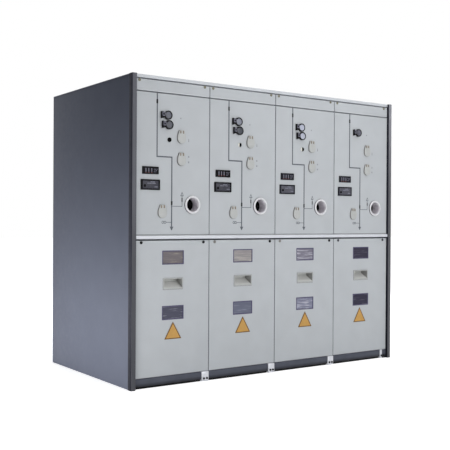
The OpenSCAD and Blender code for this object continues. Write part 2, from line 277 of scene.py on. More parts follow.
def start_round(name, centre, radius, deep, sides):
    """Adds a round bar that lies along Y, with its front end at the centre, and opens it."""
    let_go()
    middle = Vector(centre) + Vector((0, deep / 2, 0))
    bpy.ops.mesh.primitive_cylinder_add(
        vertices=sides, radius=radius, depth=deep, location=middle, rotation=(radians(90), 0, 0))
    return open_new(name)


print("blocks and round bars ready")

# %% Picking parts by their place
SAME = 0.02 * MM
STRAIGHT = 0.9


def near(one, other):
    """True where two lengths are the same for the eye."""
    return abs(one - other) < SAME


def pick(piece, kind, test):
    """Selects the faces, edges or corners of the open piece that pass a test."""
    bpy.ops.mesh.select_mode(type=kind)
    bpy.ops.mesh.select_all(action="DESELECT")
    mesh = bmesh.from_edit_mesh(piece.data)
    parts = {"FACE": mesh.faces, "EDGE": mesh.edges, "VERT": mesh.verts}[kind]
    for part in parts:
        if test(part):
            part.select_set(True)
    mesh.select_flush_mode()
    bmesh.update_edit_mesh(piece.data)


def flat_at(y):
    """Test for edges and faces whose corners all lie at one depth."""
    return lambda part: all(near(corner.co.y, y) for corner in part.verts)


def looks_out(face):
    """Test for faces that look straight out of the doors."""
    return face.normal.y < -STRAIGHT


def along_depth(edge):
    """Test for edges that run from front to back."""
    return not near(edge.verts[0].co.y, edge.verts[1].co.y)


print("lengths are the same within", SAME, "m")

# %% [markdown]
# A finished piece is shaded smooth up to a given angle, gets its finish, rides on the lineup's one
# body and hides the solid that it stands for. Repeats are copied, and each copy is moved in its mesh,
# so that every object stays at the origin.

# %% Finishing
SMOOTH_UP_TO = 35


def give(piece, *finishes):
    """Adds finishes to a piece. Its faces wear the first one until others are assigned."""
    for finish in finishes:
        piece.data.materials.append(finish)


def assign(piece, number):
    """Gives the selected faces of the open piece another of its finishes."""
    piece.active_material_index = number
    bpy.ops.object.material_slot_assign()


def done(piece, slot, finishes, *nodes):
    """Closes a piece: shading, finishes, body and the solids that it stands for. The slot is not used."""
    take(piece)
    bpy.ops.object.shade_smooth_by_angle(angle=radians(SMOOTH_UP_TO))
    numbers = [face.material_index for face in piece.data.polygons]
    piece.data.materials.clear()
    give(piece, *finishes)
    piece.data.polygons.foreach_set("material_index", numbers)
    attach(piece, "root")
    if nodes:
        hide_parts(*nodes)
    return piece


def paint_faces(piece, number, test):
    """Gives the faces that pass a test another finish of the piece."""
    reopen(piece)
    pick(piece, "FACE", test)
    assign(piece, number)
    let_go()


print("smooth up to", SMOOTH_UP_TO, "degrees")

# %% Copying
def copy_of(piece, name, shift):
    """Copies a piece that isn't closed yet, with its own mesh, and moves it in that mesh."""
    take(piece)
    bpy.ops.object.duplicate(linked=False)
    twin = bpy.context.object
    twin.name = name
    twin.data.name = name
    bpy.ops.transform.translate(value=shift)
    bpy.ops.object.transform_apply(location=True, rotation=False, scale=False)
    return twin


def for_each_unit(piece, name):
    """The piece of unit 1 and its copies for the other units, with the unit's number in the name."""
    let_go()
    row = [piece]
    for step in range(1, len(UNITS)):
        row.append(copy_of(piece, f"{name}_{UNITS[step]}", next_unit * step))
    piece.name = f"{name}_{UNITS[0]}"
    print(name, "x", len(row), "faces each", len(piece.data.polygons))
    return row


def row_of(piece, name, slot, finishes, node=None):
    """Copies a piece along the row and closes each one, for the solid of its unit if one is named."""
    for unit, member in zip(UNITS, for_each_unit(piece, name)):
        nodes = [f"{node}_{unit}"] if node else []
        done(member, slot, finishes, *nodes)


def copies_at(pattern, names, boxes):
    """Copies a pattern, made in the first box, to every box, and deletes the pattern."""
    twins = [copy_of(pattern, name, low - boxes[0][0]) for name, (low, _) in zip(names, boxes)]
    bpy.data.objects.remove(pattern)
    print(names[0], "and", len(twins) - 1, "copies")
    return twins


def as_one(pieces, name):
    """Joins copies of a small piece into one object."""
    let_go()
    for piece in pieces:
        piece.select_set(True)
    bpy.context.view_layer.objects.active = pieces[0]
    bpy.ops.object.join()
    joined = bpy.context.object
    joined.name = name
    joined.data.name = name
    print(name, "joined from", len(pieces))
    return joined


print("units in a row:", len(UNITS))

# %% Booleans and soft edges
SHARP_FROM = 30
SLIVER = 0.02 * MM


def combine(piece, other, operation):
    """Joins two closed pieces with a boolean, and deletes the second."""
    take(piece)
    boolean = piece.modifiers.new("boolean", "BOOLEAN")
    boolean.operation = operation
    boolean.solver = "EXACT"
    boolean.object = other
    bpy.ops.object.modifier_apply(modifier=boolean.name)
    bpy.data.objects.remove(other)


def softened(piece, width, segments=2):
    """Rounds every sharp edge of a piece with a bevel modifier, and merges the slivers that it leaves."""
    take(piece)
    soft = piece.modifiers.new("soft", "BEVEL")
    soft.limit_method = "ANGLE"
    soft.angle_limit = radians(SHARP_FROM)
    soft.width = width
    soft.segments = segments
    soft.use_clamp_overlap = True
    bpy.ops.object.modifier_apply(modifier=soft.name)
    reopen(piece)
    bpy.ops.mesh.remove_doubles(threshold=SLIVER)
    bpy.ops.mesh.dissolve_degenerate(threshold=SLIVER)
    let_go()


print("edges are sharp from", SHARP_FROM, "degrees")

# %% [markdown]
# Some solids hold one copy of a small piece per unit. Their corners are merged, each closed shell
# is followed from corner to corner, and the boxes of the shells come back in order, unit by unit
# and from the top down.

# %% Boxes of the shells in one solid
MERGE = 0.001 * MM


def shells(node):
    """Lowest and highest corner of each closed shell in a node, by unit and from the top down."""
    mesh = bmesh.new()
    mesh.from_mesh(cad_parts[node].data)
    bmesh.ops.remove_doubles(mesh, verts=mesh.verts, dist=MERGE)
    left = set(mesh.verts)
    boxes = []
    while left:
        to_follow = [left.pop()]
        corners = []
        while to_follow:
            corner = to_follow.pop()
            corners.append(corner.co.copy())
            for edge in corner.link_edges:
                other = edge.other_vert(corner)
                if other in left:
                    left.discard(other)
                    to_follow.append(other)
        low = Vector(min(point[axis] for point in corners) for axis in range(3))
        high = Vector(max(point[axis] for point in corners) for axis in range(3))
        boxes.append((low, high))
    mesh.free()

    def order(box):
        middle = (box[0] + box[1]) / 2
        return (int((middle.x - seams[0]) / unit_w), -round(middle.z, 3), middle.x)

    return sorted(boxes, key=order)


print("socket caps:", len(shells("socket_caps")), "guards:", len(shells("button_guards")))

# %% [markdown]
# ## Finishes
# Powder coat on steel is never one flat colour: it has a faint cloud of lighter and darker spots,
# a gloss that changes from place to place and the fine dimples that painters call orange peel.
# Mouldings have the same three things at another scale. So one function builds them all from
# noise on the object's own coordinates, and each finish only gives its numbers.

# %% Shader nodes
def new_node(finish, kind, **inputs):
    """Adds a shader node and sets its inputs, whose names are written with underscores."""
    node = finish.node_tree.nodes.new(kind)
    for name, value in inputs.items():
        node.inputs[name.replace("_", " ")].default_value = value
    return node


def link(finish, output, socket):
    """Joins an output to an input."""
    finish.node_tree.links.new(output, socket)


def blank(name, **sockets):
    """A finish whose constant shader sockets are set, with the object's coordinates beside it."""
    finish = bpy.data.materials.new(name)
    finish.use_nodes = True
    shader = finish.node_tree.nodes["Principled BSDF"]
    for socket, value in sockets.items():
        shader.inputs[socket.replace("_", " ")].default_value = value
    place = finish.node_tree.nodes.new("ShaderNodeTexCoord").outputs["Object"]
    return finish, shader, place


NOISE_ROUGHNESS = 0.55


def noise(finish, place, scale, detail=3.0):
    """Noise of a number of spots per metre on a coordinate."""
    spots = new_node(finish, "ShaderNodeTexNoise", Scale=scale, Detail=detail, Roughness=NOISE_ROUGHNESS)
    link(finish, place, spots.inputs["Vector"])
    return spots.outputs["Fac"]


def ramp(finish, value, stops):
    """Colours at places from 0 to 1 along a value."""
    colours = finish.node_tree.nodes.new("ShaderNodeValToRGB")
    band = colours.color_ramp
    while len(band.elements) < len(stops):
        band.elements.new(0.5)
    for element, (at, colour) in zip(band.elements, stops):
        element.position = at
        element.color = colour
    link(finish, value, colours.inputs["Fac"])
    return colours.outputs["Color"]


print("noise roughness", NOISE_ROUGHNESS)

# %% Clouds, gloss and dimples
SPOT_LOW, SPOT_HIGH = 0.3, 0.7
GLOSS_DETAIL = 5.0
DIMPLE_DETAIL = 2.0
DIMPLE_STRENGTH = 0.4


def scaled(colour, factor):
    """A colour made lighter or darker."""
    return (*(min(1.0, part * factor) for part in colour[:3]), 1.0)


def clouded(finish, shader, place, colour, spread, scale):
    """Faint lighter and darker spots round a colour."""
    spots = noise(finish, place, scale)
    tones = ((SPOT_LOW, scaled(colour, 1 - spread)), (SPOT_HIGH, scaled(colour, 1 + spread)))
    link(finish, ramp(finish, spots, tones), shader.inputs["Base Color"])


def uneven_gloss(finish, shader, place, low, high, scale):
    """Roughness that wanders between two values."""
    spots = noise(finish, place, scale, GLOSS_DETAIL)
    span = new_node(
        finish, "ShaderNodeMapRange", From_Min=SPOT_LOW, From_Max=SPOT_HIGH, To_Min=low, To_Max=high)
    link(finish, spots, span.inputs["Value"])
    link(finish, span.outputs["Result"], shader.inputs["Roughness"])


def dimpled(finish, shader, place, depth, scale):
    """Fine dimples in the surface."""
    dents = new_node(finish, "ShaderNodeBump", Strength=DIMPLE_STRENGTH, Distance=depth)
    link(finish, noise(finish, place, scale, DIMPLE_DETAIL), dents.inputs["Height"])
    link(finish, dents.outputs["Normal"], shader.inputs["Normal"])


def coat(name, colour, gloss, spread=0.03, cloud=9, peel=700, depth=0.15 * MM, **sockets):
    """A painted or moulded finish: its colour, its span of roughness and its dimples."""
    finish, shader, place = blank(name, **sockets)
    clouded(finish, shader, place, colour, spread, cloud)
    uneven_gloss(finish, shader, place, *gloss, cloud * 4)
    dimpled(finish, shader, place, depth, peel)
    print("finish", name)
    return finish


# %% Paints of the lineup
door_paint = coat("door_paint", tone(182, 186, 190), (0.52, 0.63), Specular_IOR_Level=0.34)
# Painted light and shade on the door folds: a shaded, a highlighted and a deeper shaded copy of the door
# paint.
door_fold_shade = coat("door_fold_shade", tone(158, 161, 167), (0.44, 0.54), spread=0.06, cloud=60)
door_fold_highlight = coat("door_fold_highlight", tone(198, 202, 206), (0.36, 0.48), spread=0.06, cloud=60)
joint_fold_shade = coat(
    "joint_fold_shade", tone(130, 133, 140), (0.50, 0.62), spread=0.06, cloud=60, Specular_IOR_Level=0.15)
side_paint = coat("side_paint", tone(92, 96, 109), (0.52, 0.64), Specular_IOR_Level=0.06)
post_paint = coat("post_paint", tone(90, 91, 98), (0.42, 0.54), Specular_IOR_Level=0.2)
# Painted light: the right post wears a lighter copy of the post paint.
right_post_lit_paint = coat("right_post_lit_paint", tone(134, 135, 142), (0.42, 0.54), Specular_IOR_Level=0.2)
# Painted shade for the flanks of the posts.
post_flank_shade = coat("post_flank_shade", tone(33, 34, 45), (0.50, 0.62), Specular_IOR_Level=0.1)
kick_paint = coat(
    "kick_paint", tone(74, 77, 88), (0.45, 0.60), spread=0.08, cloud=25, Specular_IOR_Level=0.2)
# Painted shadow: the set-back foot under the kick plates is painted nearly black.
kick_foot_shadow = coat(
    "kick_foot_shadow", tone(12, 12, 14), (0.55, 0.70), spread=0.15, cloud=25, Specular_IOR_Level=0.04)
roof_paint = coat("roof_paint", tone(178, 182, 186), (0.48, 0.60), spread=0.025, Specular_IOR_Level=0.4)
rear_paint = coat("rear_paint", tone(180, 184, 188), (0.48, 0.60), spread=0.025, Specular_IOR_Level=0.4)
top_paint = coat("top_paint", tone(192, 196, 201), (0.34, 0.46))
middle_paint = coat("middle_paint", tone(210, 213, 220), (0.28, 0.40))

# %% [markdown]
# The lowest part of a kick plate is painted darker, as painted shade at its foot. The posts get
# painted light and shade along their height too: the left one and the flanks are darker below, as
# painted shade, and the right one, painted in a lighter copy of the post paint, is paler towards its
# top, as painted light. The height of a point comes from its own coordinates, and the colour that the
# finish already has is multiplied by a share that grows with that height.

# %% Paints that are darker below
def darker_below(finish, low, high, share):
    """Darkens a finish towards its foot, between two heights."""
    shader = finish.node_tree.nodes["Principled BSDF"]
    colour = shader.inputs["Base Color"].links[0].from_socket
    place = finish.node_tree.nodes["Texture Coordinate"].outputs["Object"]
    axes = new_node(finish, "ShaderNodeSeparateXYZ")
    link(finish, place, axes.inputs["Vector"])
    span = new_node(finish, "ShaderNodeMapRange", From_Min=low, From_Max=high, To_Min=share, To_Max=1.0)
    link(finish, axes.outputs["Z"], span.inputs["Value"])
    dimmed = finish.node_tree.nodes.new("ShaderNodeVectorMath")
    dimmed.operation = "MULTIPLY"
    link(finish, colour, dimmed.inputs[0])
    link(finish, span.outputs["Result"], dimmed.inputs[1])
    link(finish, dimmed.outputs["Vector"], shader.inputs["Base Color"])
    print(finish.name, "darker below", round(high / MM), "mm")


# Painted shade low on the kick plates and the posts, and painted light high on the right post.
darker_below(kick_paint, low=12 * MM, high=28 * MM, share=0.15)
darker_below(post_paint, low=680 * MM, high=900 * MM, share=0.66)
darker_below(post_flank_shade, low=120 * MM, high=500 * MM, share=0.55)
darker_below(right_post_lit_paint, low=980 * MM, high=1440 * MM, share=0.38)

# %% [markdown]
# ## Housings
# The housings stand behind the doors and only show as thin lines in the grooves between them.
# Their solids are right as they are, so they keep their mesh and only get the paint.

# %% Paint the housings
def repaint(node, finish):
    """Gives a solid that stays a better finish."""
    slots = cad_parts[node].data.materials
    slots.clear()
    slots.append(finish)


groove_shadow = coat("groove_shadow", tone(96, 99, 108), (0.5, 0.65), spread=0.06)
for unit in UNITS:
    repaint(f"cabinet_{unit}", groove_shadow)
print("housings painted")

# %% [markdown]
# ## Plain sheet pieces
# Side panels, posts, kick plates, roof and rear are folded sheet. The solid has the right shape,
# but every fold is dead sharp, and a sharp edge never catches light. A copy of the solid is merged
# into one skin, its flat triangles are dissolved into whole faces, and the folds are bevelled.

# %% Copies with soft folds
SIDE_FOLD = 1.0 * MM
SHEET_FOLD = 0.6 * MM
SKIN_MERGE = 0.01 * MM
FLAT_UP_TO = radians(1)


def soft_copy(node, name, slot, finish, fold):
    """Copy of a solid with rounded folds, which stands for it."""
    take(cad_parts[node])
    bpy.ops.object.duplicate(linked=False)
    piece = bpy.context.object
    for key in list(piece.keys()):
        del piece[key]
    piece.parent = None
    piece.name = name
    piece.data.name = name
    reopen(piece)
    bpy.ops.mesh.remove_doubles(threshold=SKIN_MERGE)
    bpy.ops.mesh.dissolve_limited(angle_limit=FLAT_UP_TO)
    let_go()
    softened(piece, fold)
    print(name, "faces", len(piece.data.polygons))
    return done(piece, slot, [finish], node)


soft_copy("left_side_panel", "left_side_sheet", "side_paint", side_paint, SIDE_FOLD)
soft_copy("right_side_panel", "right_side_sheet", "side_paint", side_paint, SIDE_FOLD)
left_post = soft_copy("left_corner_post", "left_post_profile", "post_paint", post_paint, SIDE_FOLD)
right_post = soft_copy(
    "right_corner_post", "right_post_profile", "post_paint", right_post_lit_paint, SIDE_FOLD)
soft_copy("roof_plates", "roof_sheets", "roof_paint", roof_paint, SHEET_FOLD)
soft_copy("rear_plates", "rear_sheets", "rear_paint", rear_paint, SHEET_FOLD)
kick = soft_copy("kick_plates", "kick_sheets", "kick_paint", kick_paint, SHEET_FOLD)
soft_copy("rear_kick", "rear_kick_sheet", "kick_paint", kick_paint, SHEET_FOLD)

# %% Painted shade on the flanks of the posts
FLANK_TURN = 0.7
for post in (left_post, right_post):
    give(post, post_flank_shade)
    paint_faces(post, 1, lambda face: abs(face.normal.x) > FLANK_TURN)
print("flanks painted")

# %% Painted shadow on the foot under the kick plates
FOOT_H = 10 * MM
give(kick, kick_foot_shadow)
paint_faces(kick, 1, lambda face: face.calc_center_median().z < FOOT_H + SHEET_FOLD)
print("foot painted up to", FOOT_H)

# %% [markdown]
# ## Doors
# Each unit has a narrow header, a mechanism panel and a cable cover. They are steel trays with
# folded rims, so the front edges are small radii. Light and shade on the folds are painted on: the
# folds on the right, under the header and on top of the cover get a painted highlight, the upper
# folds of the header and of the mechanism panel a deep painted shade, and the other lower folds a
# painted shade. The rim is bevelled first, on a clean block, and the openings are cut afterwards
# with booleans: the other way round, the bevel would have to find its way round the openings.

# %% Trays with folded rims
DOOR_FOLD = 3.0 * MM
FOLD_TURN = 0.25
FRONT_TURN, SIDE_TURN = -0.99, -0.05
# The folds wear the door paint and its painted shade, painted highlight and deeper painted shade.
FOLD_PAINTS = (door_paint, door_fold_shade, door_fold_highlight, joint_fold_shade)
FOLD_SHADE, FOLD_HIGHLIGHT, FOLD_DEEP_SHADE = range(1, len(FOLD_PAINTS))


def folded_tray(name, node, low_paint, top_paint):
    """Block of a door whose front edges are rounded, with the given painted shades and highlights on its low
    and top folds and a painted highlight on its right folds.
    """
    piece = start_block(name, *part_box(node))
    give(piece, *FOLD_PAINTS)
    pick(piece, "EDGE", flat_at(door_y))
    bpy.ops.mesh.bevel(offset=DOOR_FOLD, segments=3, profile=0.5)
    let_go()

    def on_fold(face):
        return FRONT_TURN < face.normal.y < SIDE_TURN

    def low_fold(face):
        return on_fold(face) and face.normal.z < -FOLD_TURN

    def right_fold(face):
        return on_fold(face) and face.normal.x > FOLD_TURN

    def top_fold(face):
        return on_fold(face) and face.normal.z > FOLD_TURN

    paint_faces(piece, low_paint, low_fold)
    paint_faces(piece, FOLD_HIGHLIGHT, right_fold)
    paint_faces(piece, top_paint, top_fold)
    return piece


header = folded_tray("header_sheet", "header_panel_1", FOLD_HIGHLIGHT, FOLD_DEEP_SHADE)
row_of(header, "header_sheet", "door_paint", FOLD_PAINTS, "header_panel")

# %% Mechanism panels
port_low, port_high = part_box("viewing_port_1")
port_centre = (port_low + port_high) / 2
glass_low, glass_high = shells("port_glasses")[0]
PORT_BORE = (glass_high.x - glass_low.x) / 2
SLEEVE_WALL = 3 * MM
CLEAR = 1.0 * MM
THROUGH = 80 * MM

mechanism = folded_tray("mechanism_sheet", "mechanism_panel_1", FOLD_SHADE, FOLD_DEEP_SHADE)
sleeve_r = PORT_BORE + SLEEVE_WALL
port_cutter = start_round(
    "port_cutter", (port_centre.x, door_y - CLEAR, port_centre.z), sleeve_r, THROUGH, 96)
combine(mechanism, port_cutter, "DIFFERENCE")
row_of(mechanism, "mechanism_sheet", "door_paint", FOLD_PAINTS, "mechanism_panel")

# %% Cable covers
POCKET = 40 * MM
CUP_MARGIN = 3 * MM
upper_panes = shells("upper_windows")
lower_panes = shells("lower_windows")
cup_low, cup_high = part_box("pull_handle_1")

cover = folded_tray("cover_sheet", "cable_cover_1", FOLD_SHADE, FOLD_HIGHLIGHT)
for low, high in (upper_panes[0], lower_panes[0]):
    pocket = start_block(
        "pocket", (low.x, door_y - CLEAR, low.z), (high.x, high.y + POCKET, high.z))
    combine(cover, pocket, "DIFFERENCE")
cup_hole = start_block(
    "cup_hole", (cup_low.x + CUP_MARGIN, door_y - CLEAR, cup_low.z + CUP_MARGIN),
    (cup_high.x - CUP_MARGIN, door_y + THROUGH, cup_high.z - CUP_MARGIN))
combine(cover, cup_hole, "DIFFERENCE")
row_of(cover, "cover_sheet", "door_paint", FOLD_PAINTS, "cable_cover")

# %% [markdown]
# ## Seals between the units
# Where two units meet, a grey bead closes the gap just behind the doors, and a paler one lies on
# the middle strip. Their greys are painted shade: they stand for the shade in these gaps. Each is a
# long block whose two long front edges are rounded until the front is a half round.

# %% Bead on the middle strip
BEAD_SET = 2.6 * MM
BEAD_DEEP = 8 * MM
BEAD_ROUND = 0.4
STRIP_BEAD_SET = 0.8 * MM
UPRIGHT, LYING = 0, 2
# Painted shade: the pale bead's grey stands for the shade in the gap above the middle strip.
strip_bead_shade = coat(
    "strip_bead_shade", tone(150, 150, 148), (0.50, 0.65), spread=0.06, cloud=60, Specular_IOR_Level=0.2)


def rounded_bar(name, low, high, same_axis, radius, segments):
    """Block whose front edges are rounded where both ends have the same place on one axis."""
    piece = start_block(name, low, high)

    def long_front_edge(edge):
        one, other = (corner.co[same_axis] for corner in edge.verts)
        return flat_at(low[1])(edge) and near(one, other)

    pick(piece, "EDGE", long_front_edge)
    bpy.ops.mesh.bevel(offset=radius, segments=segments, profile=0.5)
    let_go()
    return piece


def half_round(name, same_axis, set_back, left, right, foot, top):
    """Bead with a half-round front, set back from the doors."""
    front = door_y + set_back
    width = (right - left) if same_axis == UPRIGHT else (top - foot)
    low, high = (left, front, foot), (right, front + BEAD_DEEP, top)
    return rounded_bar(name, low, high, same_axis, width * BEAD_ROUND, 4)


panel_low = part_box("mechanism_panel_1")[0]
row_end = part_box(f"mechanism_panel_{UNITS[-1]}")[1].x
strip_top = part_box("middle_strip")[1].z
lying = half_round("strip_bead", LYING, STRIP_BEAD_SET, panel_low.x, row_end, strip_top, panel_low.z)
done(lying, "housing_paint", [strip_bead_shade])

# %% Beads in the seams
# Painted shade: the grey of the seam beads stands for the shade in the gaps between the doors.
seam_bead_shade = coat(
    "seam_bead_shade", tone(98, 101, 109), (0.50, 0.65), spread=0.06, cloud=60, Specular_IOR_Level=0.2)
beads = []
for unit in UNITS[:-1]:
    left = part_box(f"cable_cover_{unit}")[1].x
    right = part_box(f"cable_cover_{unit + 1}")[0].x
    for lowest, highest in (("cable_cover", "cable_cover"), ("mechanism_panel", "header_panel")):
        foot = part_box(f"{lowest}_{unit}")[0].z
        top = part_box(f"{highest}_{unit}")[1].z
        beads.append(half_round("bead", UPRIGHT, BEAD_SET, left, right, foot, top))
done(as_one(beads, "seam_beads"), "housing_paint", [seam_bead_shade])

# %% [markdown]
# ## Strips
# A bright rounded strip closes the joint between the doors at mid height, and a plainer one runs
# along the top. Both are extruded profiles, so only the two long front edges are rounded, and the
# ends stay square where the posts meet them.

# %% Rounded strips
MIDDLE_ROUND = 5.5 * MM
TOP_ROUND = 2.5 * MM


def rounded_strip(name, node, radius, slot, finish):
    """Strip along the front whose two long front edges are rounded."""
    piece = rounded_bar(name, *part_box(node), LYING, radius, 5)
    print(name, "faces", len(piece.data.polygons))
    done(piece, slot, [finish], node)


rounded_strip("middle_trim_strip", "middle_strip", MIDDLE_ROUND, "middle_trim", middle_paint)
rounded_strip("top_trim_strip", "top_strip", TOP_ROUND, "top_trim", top_paint)

# %% [markdown]
# ## Viewing ports
# A white turned ring sits on the panel round a deep pale sleeve. It could be a bevelled tube, but a
# turned part is best made the way a lathe does: a circle is drawn out and scaled step by step along
# its profile, and the last circle is bridged to the first. Its foot is painted dark grey as painted
# shadow, the sleeve is painted paler than the ring as painted light, and the last stretch of the
# sleeve is painted black as painted shade.

# %% Turned pieces
def turned(name, centre, profile, sides=64):
    """Turns a closed profile of (radius, distance out of the door) round an axis along Y."""
    let_go()
    start_r, start_out = profile[0]
    bpy.ops.mesh.primitive_circle_add(
        vertices=sides, radius=start_r, location=(centre.x, door_y - start_out, centre.z),
        rotation=(radians(90), 0, 0))
    piece = open_new(name)
    bpy.ops.mesh.select_mode(type="EDGE")
    bpy.ops.mesh.select_all(action="SELECT")
    for (old_r, old_out), (new_r, new_out) in zip(profile, profile[1:]):
        bpy.ops.mesh.extrude_edges_move(TRANSFORM_OT_translate={"value": (0, old_out - new_out, 0)})
        hub = (centre.x, door_y - new_out, centre.z)
        bpy.ops.transform.resize(value=(new_r / old_r, 1, new_r / old_r), center_override=hub)
    return piece


def close_round(piece):
    """Bridges the first and the last circle of a turned piece and turns its faces outwards."""

    def open_edge(edge):
        return len(edge.link_faces) == 1

    pick(piece, "EDGE", open_edge)
    bpy.ops.mesh.bridge_edge_loops()
    bpy.ops.mesh.select_all(action="SELECT")
    bpy.ops.mesh.normals_make_consistent(inside=False)
    let_go()


print("turned pieces ready")

# %% Ring and sleeve
ring_white = coat("ring_white", tone(214, 214, 217), (0.22, 0.34), spread=0.02, cloud=40, peel=900)
# Painted light: the sleeve is paler than the ring, to make up for the shade inside it.
sleeve_lit_white = coat("sleeve_lit_white", tone(231, 227, 233), (0.40, 0.55), spread=0.04, cloud=30)
# Painted shade for the deep end of the sleeve and painted shadow for the foot of the ring.
sleeve_end_shade = coat(
    "sleeve_end_shade", tone(6, 6, 7), (0.50, 0.65), spread=0.08, cloud=60, Specular_IOR_Level=0.1)
ring_foot_shade = coat(
    "ring_foot_shade", tone(78, 78, 82), (0.50, 0.65), spread=0.08, cloud=60, Specular_IOR_Level=0.2)
port_paints = (ring_white, sleeve_lit_white, ring_foot_shade, sleeve_end_shade)
ring_foot = (port_high.x - port_low.x) / 2
RIM = door_y - port_low.y
SHADED_END = 8.5 * MM
SLEEVE_FROM = 2.0 * MM
FOOT_EDGE = 0.7 * MM
deep = port_high.y - door_y
port_profile = [
    (ring_foot, 0.0), (ring_foot - 0.1 * MM, 4.4 * MM), (ring_foot - 0.5 * MM, 5.0 * MM),
    (ring_foot - 1.2 * MM, 5.4 * MM),
    (sleeve_r + 3.2 * MM, RIM - 1.0 * MM), (sleeve_r + 1.6 * MM, RIM - 0.3 * MM), (sleeve_r, RIM),
    (PORT_BORE + 1.3 * MM, RIM - 0.3 * MM), (PORT_BORE + 0.4 * MM, RIM - 1.2 * MM),
    (PORT_BORE, RIM - 2.6 * MM), (PORT_BORE, -4 * MM), (PORT_BORE, SHADED_END - deep),
    (PORT_BORE, -deep), (sleeve_r, -deep), (sleeve_r, 0.0)]
ring = turned("port_ring", port_centre, port_profile)
close_round(ring)


def in_sleeve(face):
    middle = face.calc_center_median()
    return middle.y > door_y - RIM + SLEEVE_FROM and face.normal.dot(middle - port_centre) < 0


def on_foot(face):
    away = face.calc_center_median() - port_centre
    away.y = 0
    return away.length > ring_foot - FOOT_EDGE


def at_sleeve_end(face):
    return in_sleeve(face) and face.calc_center_median().y > door_y + deep - SHADED_END


# Painted light in the sleeve, painted shadow on the foot and painted shade at the end of the sleeve.
give(ring, *port_paints)
paint_faces(ring, port_paints.index(sleeve_lit_white), in_sleeve)
paint_faces(ring, port_paints.index(ring_foot_shade), on_foot)
paint_faces(ring, port_paints.index(sleeve_end_shade), at_sleeve_end)
row_of(ring, "port_ring", "port_ring", port_paints, "viewing_port")

# %% [markdown]
# The glass at the end of the sleeve looks black, because the space behind it is dark. A smooth dark
# finish with a clear gloss shows that without the cost of a lit inside.

# %% Port glass
port_glass = coat(
    "port_glass", tone(5, 5, 6), (0.08, 0.16), spread=0.15, cloud=30, peel=60, depth=0.05 * MM,
    Specular_IOR_Level=0.1)
repaint("port_glasses", port_glass)

# %% [markdown]
# ## Flush pulls
# A cover is lifted off by a moulded cup: fingers slide up a sloping floor and grip behind its upper
# lip. The front of a block is inset to leave a flange, the inner face is drawn back, and the lower
# edge of the back face is then raised, which makes the slope.

# %% Cup with its flange
CUP_WALL = 5 * MM
CUP_FOOT = 3 * MM
FLANGE_SUNK = 0.2 * MM
cup_front = cup_low.y

cup = start_block(
    "pull_cup", (cup_low.x + CUP_MARGIN, door_y, cup_low.z + CUP_MARGIN),
    (cup_high.x - CUP_MARGIN, cup_high.y, cup_high.z - CUP_MARGIN))
pick(cup, "FACE", flat_at(door_y))
bpy.ops.mesh.extrude_region_move(TRANSFORM_OT_translate={"value": (0, cup_front - door_y, 0)})
let_go()
flange = start_block("flange", cup_low, (cup_high.x, door_y + FLANGE_SUNK, cup_high.z))
combine(cup, flange, "UNION")
reopen(cup)
bpy.ops.mesh.dissolve_limited(angle_limit=FLAT_UP_TO)
pick(cup, "FACE", flat_at(cup_front))
bpy.ops.mesh.inset(thickness=CUP_WALL)
inner_low = cup_low.z + CUP_WALL
pick(cup, "VERT", lambda corner: near(corner.co.y, cup_front) and near(corner.co.z, inner_low))
bpy.ops.transform.translate(value=(0, 0, CUP_FOOT))
let_go()
print("cup and flange, faces", len(cup.data.polygons))

# %% Hollow of the cup
CUP_DEEP = 50 * MM
CUP_GRIP = 16 * MM
CUP_SOFT = 1.1 * MM
hollow_foot = inner_low + CUP_FOOT / 2
hollow_top = cup_high.z - CUP_WALL / 2
cup_x = (cup_low.x + cup_high.x) / 2


def inner_front(face):
    in_the_middle = abs(face.calc_center_median().x - cup_x) < CUP_WALL
    below_and_above = all(hollow_foot < corner.co.z < hollow_top for corner in face.verts)
    return flat_at(cup_front)(face) and in_the_middle and below_and_above


reopen(cup)
pick(cup, "FACE", inner_front)
bpy.ops.mesh.extrude_region_move(TRANSFORM_OT_translate={"value": (0, door_y + CUP_DEEP - cup_front, 0)})
grip_z = cup_high.z - CUP_WALL - CUP_GRIP


def slope_end(corner):
    return near(corner.co.y, door_y + CUP_DEEP) and near(corner.co.z, inner_low + CUP_FOOT)


pick(cup, "VERT", slope_end)
bpy.ops.transform.translate(value=(0, 0, grip_z - inner_low - CUP_FOOT))
let_go()
softened(cup, CUP_SOFT, 3)
print("hollow cup, faces", len(cup.data.polygons))

# %% Painted light and shade of the cup
HOLLOW_EDGE = 4 * MM
HOLLOW_FRONT = 0.4 * MM
HOLLOW_BACK = 1 * MM
OUTLINE_W = 1.3 * MM
# One plastic in four colours: the flange, the inside lighter as painted light, the side walls darker as
# painted shade and the outline dark as painted shadow.
pull_cream = coat("pull_cream", tone(166, 168, 168), (0.38, 0.50), spread=0.03, cloud=25, peel=1100)
pull_inside_lit = coat("pull_inside_lit", tone(194, 195, 193), (0.38, 0.50), spread=0.03, cloud=25, peel=1100)
pull_shade = coat("pull_shade", tone(142, 142, 140), (0.45, 0.60), spread=0.05, cloud=25, peel=1100)
pull_outline_shadow = coat("pull_outline_shadow", tone(74, 73, 72), (0.45, 0.60), spread=0.05, cloud=25, peel=1100)
pull_paints = (pull_cream, pull_inside_lit, pull_shade, pull_outline_shadow)


def within_cup(spot, edge):
    """True for a place that is further in from the outline of the cup than an edge."""
    within_x = cup_low.x + edge < spot.x < cup_high.x - edge
    return within_x and cup_low.z + edge < spot.z < cup_high.z - edge


def inside_cup(face):
    spot = face.calc_center_median()
    behind_flange = cup_front + HOLLOW_FRONT < spot.y < cup_high.y - HOLLOW_BACK
    return behind_flange and within_cup(spot, HOLLOW_EDGE)


def side_wall(face):
    return inside_cup(face) and abs(face.normal.x) > FLANK_TURN


def on_outline(face):
    return not within_cup(face.calc_center_median(), OUTLINE_W)


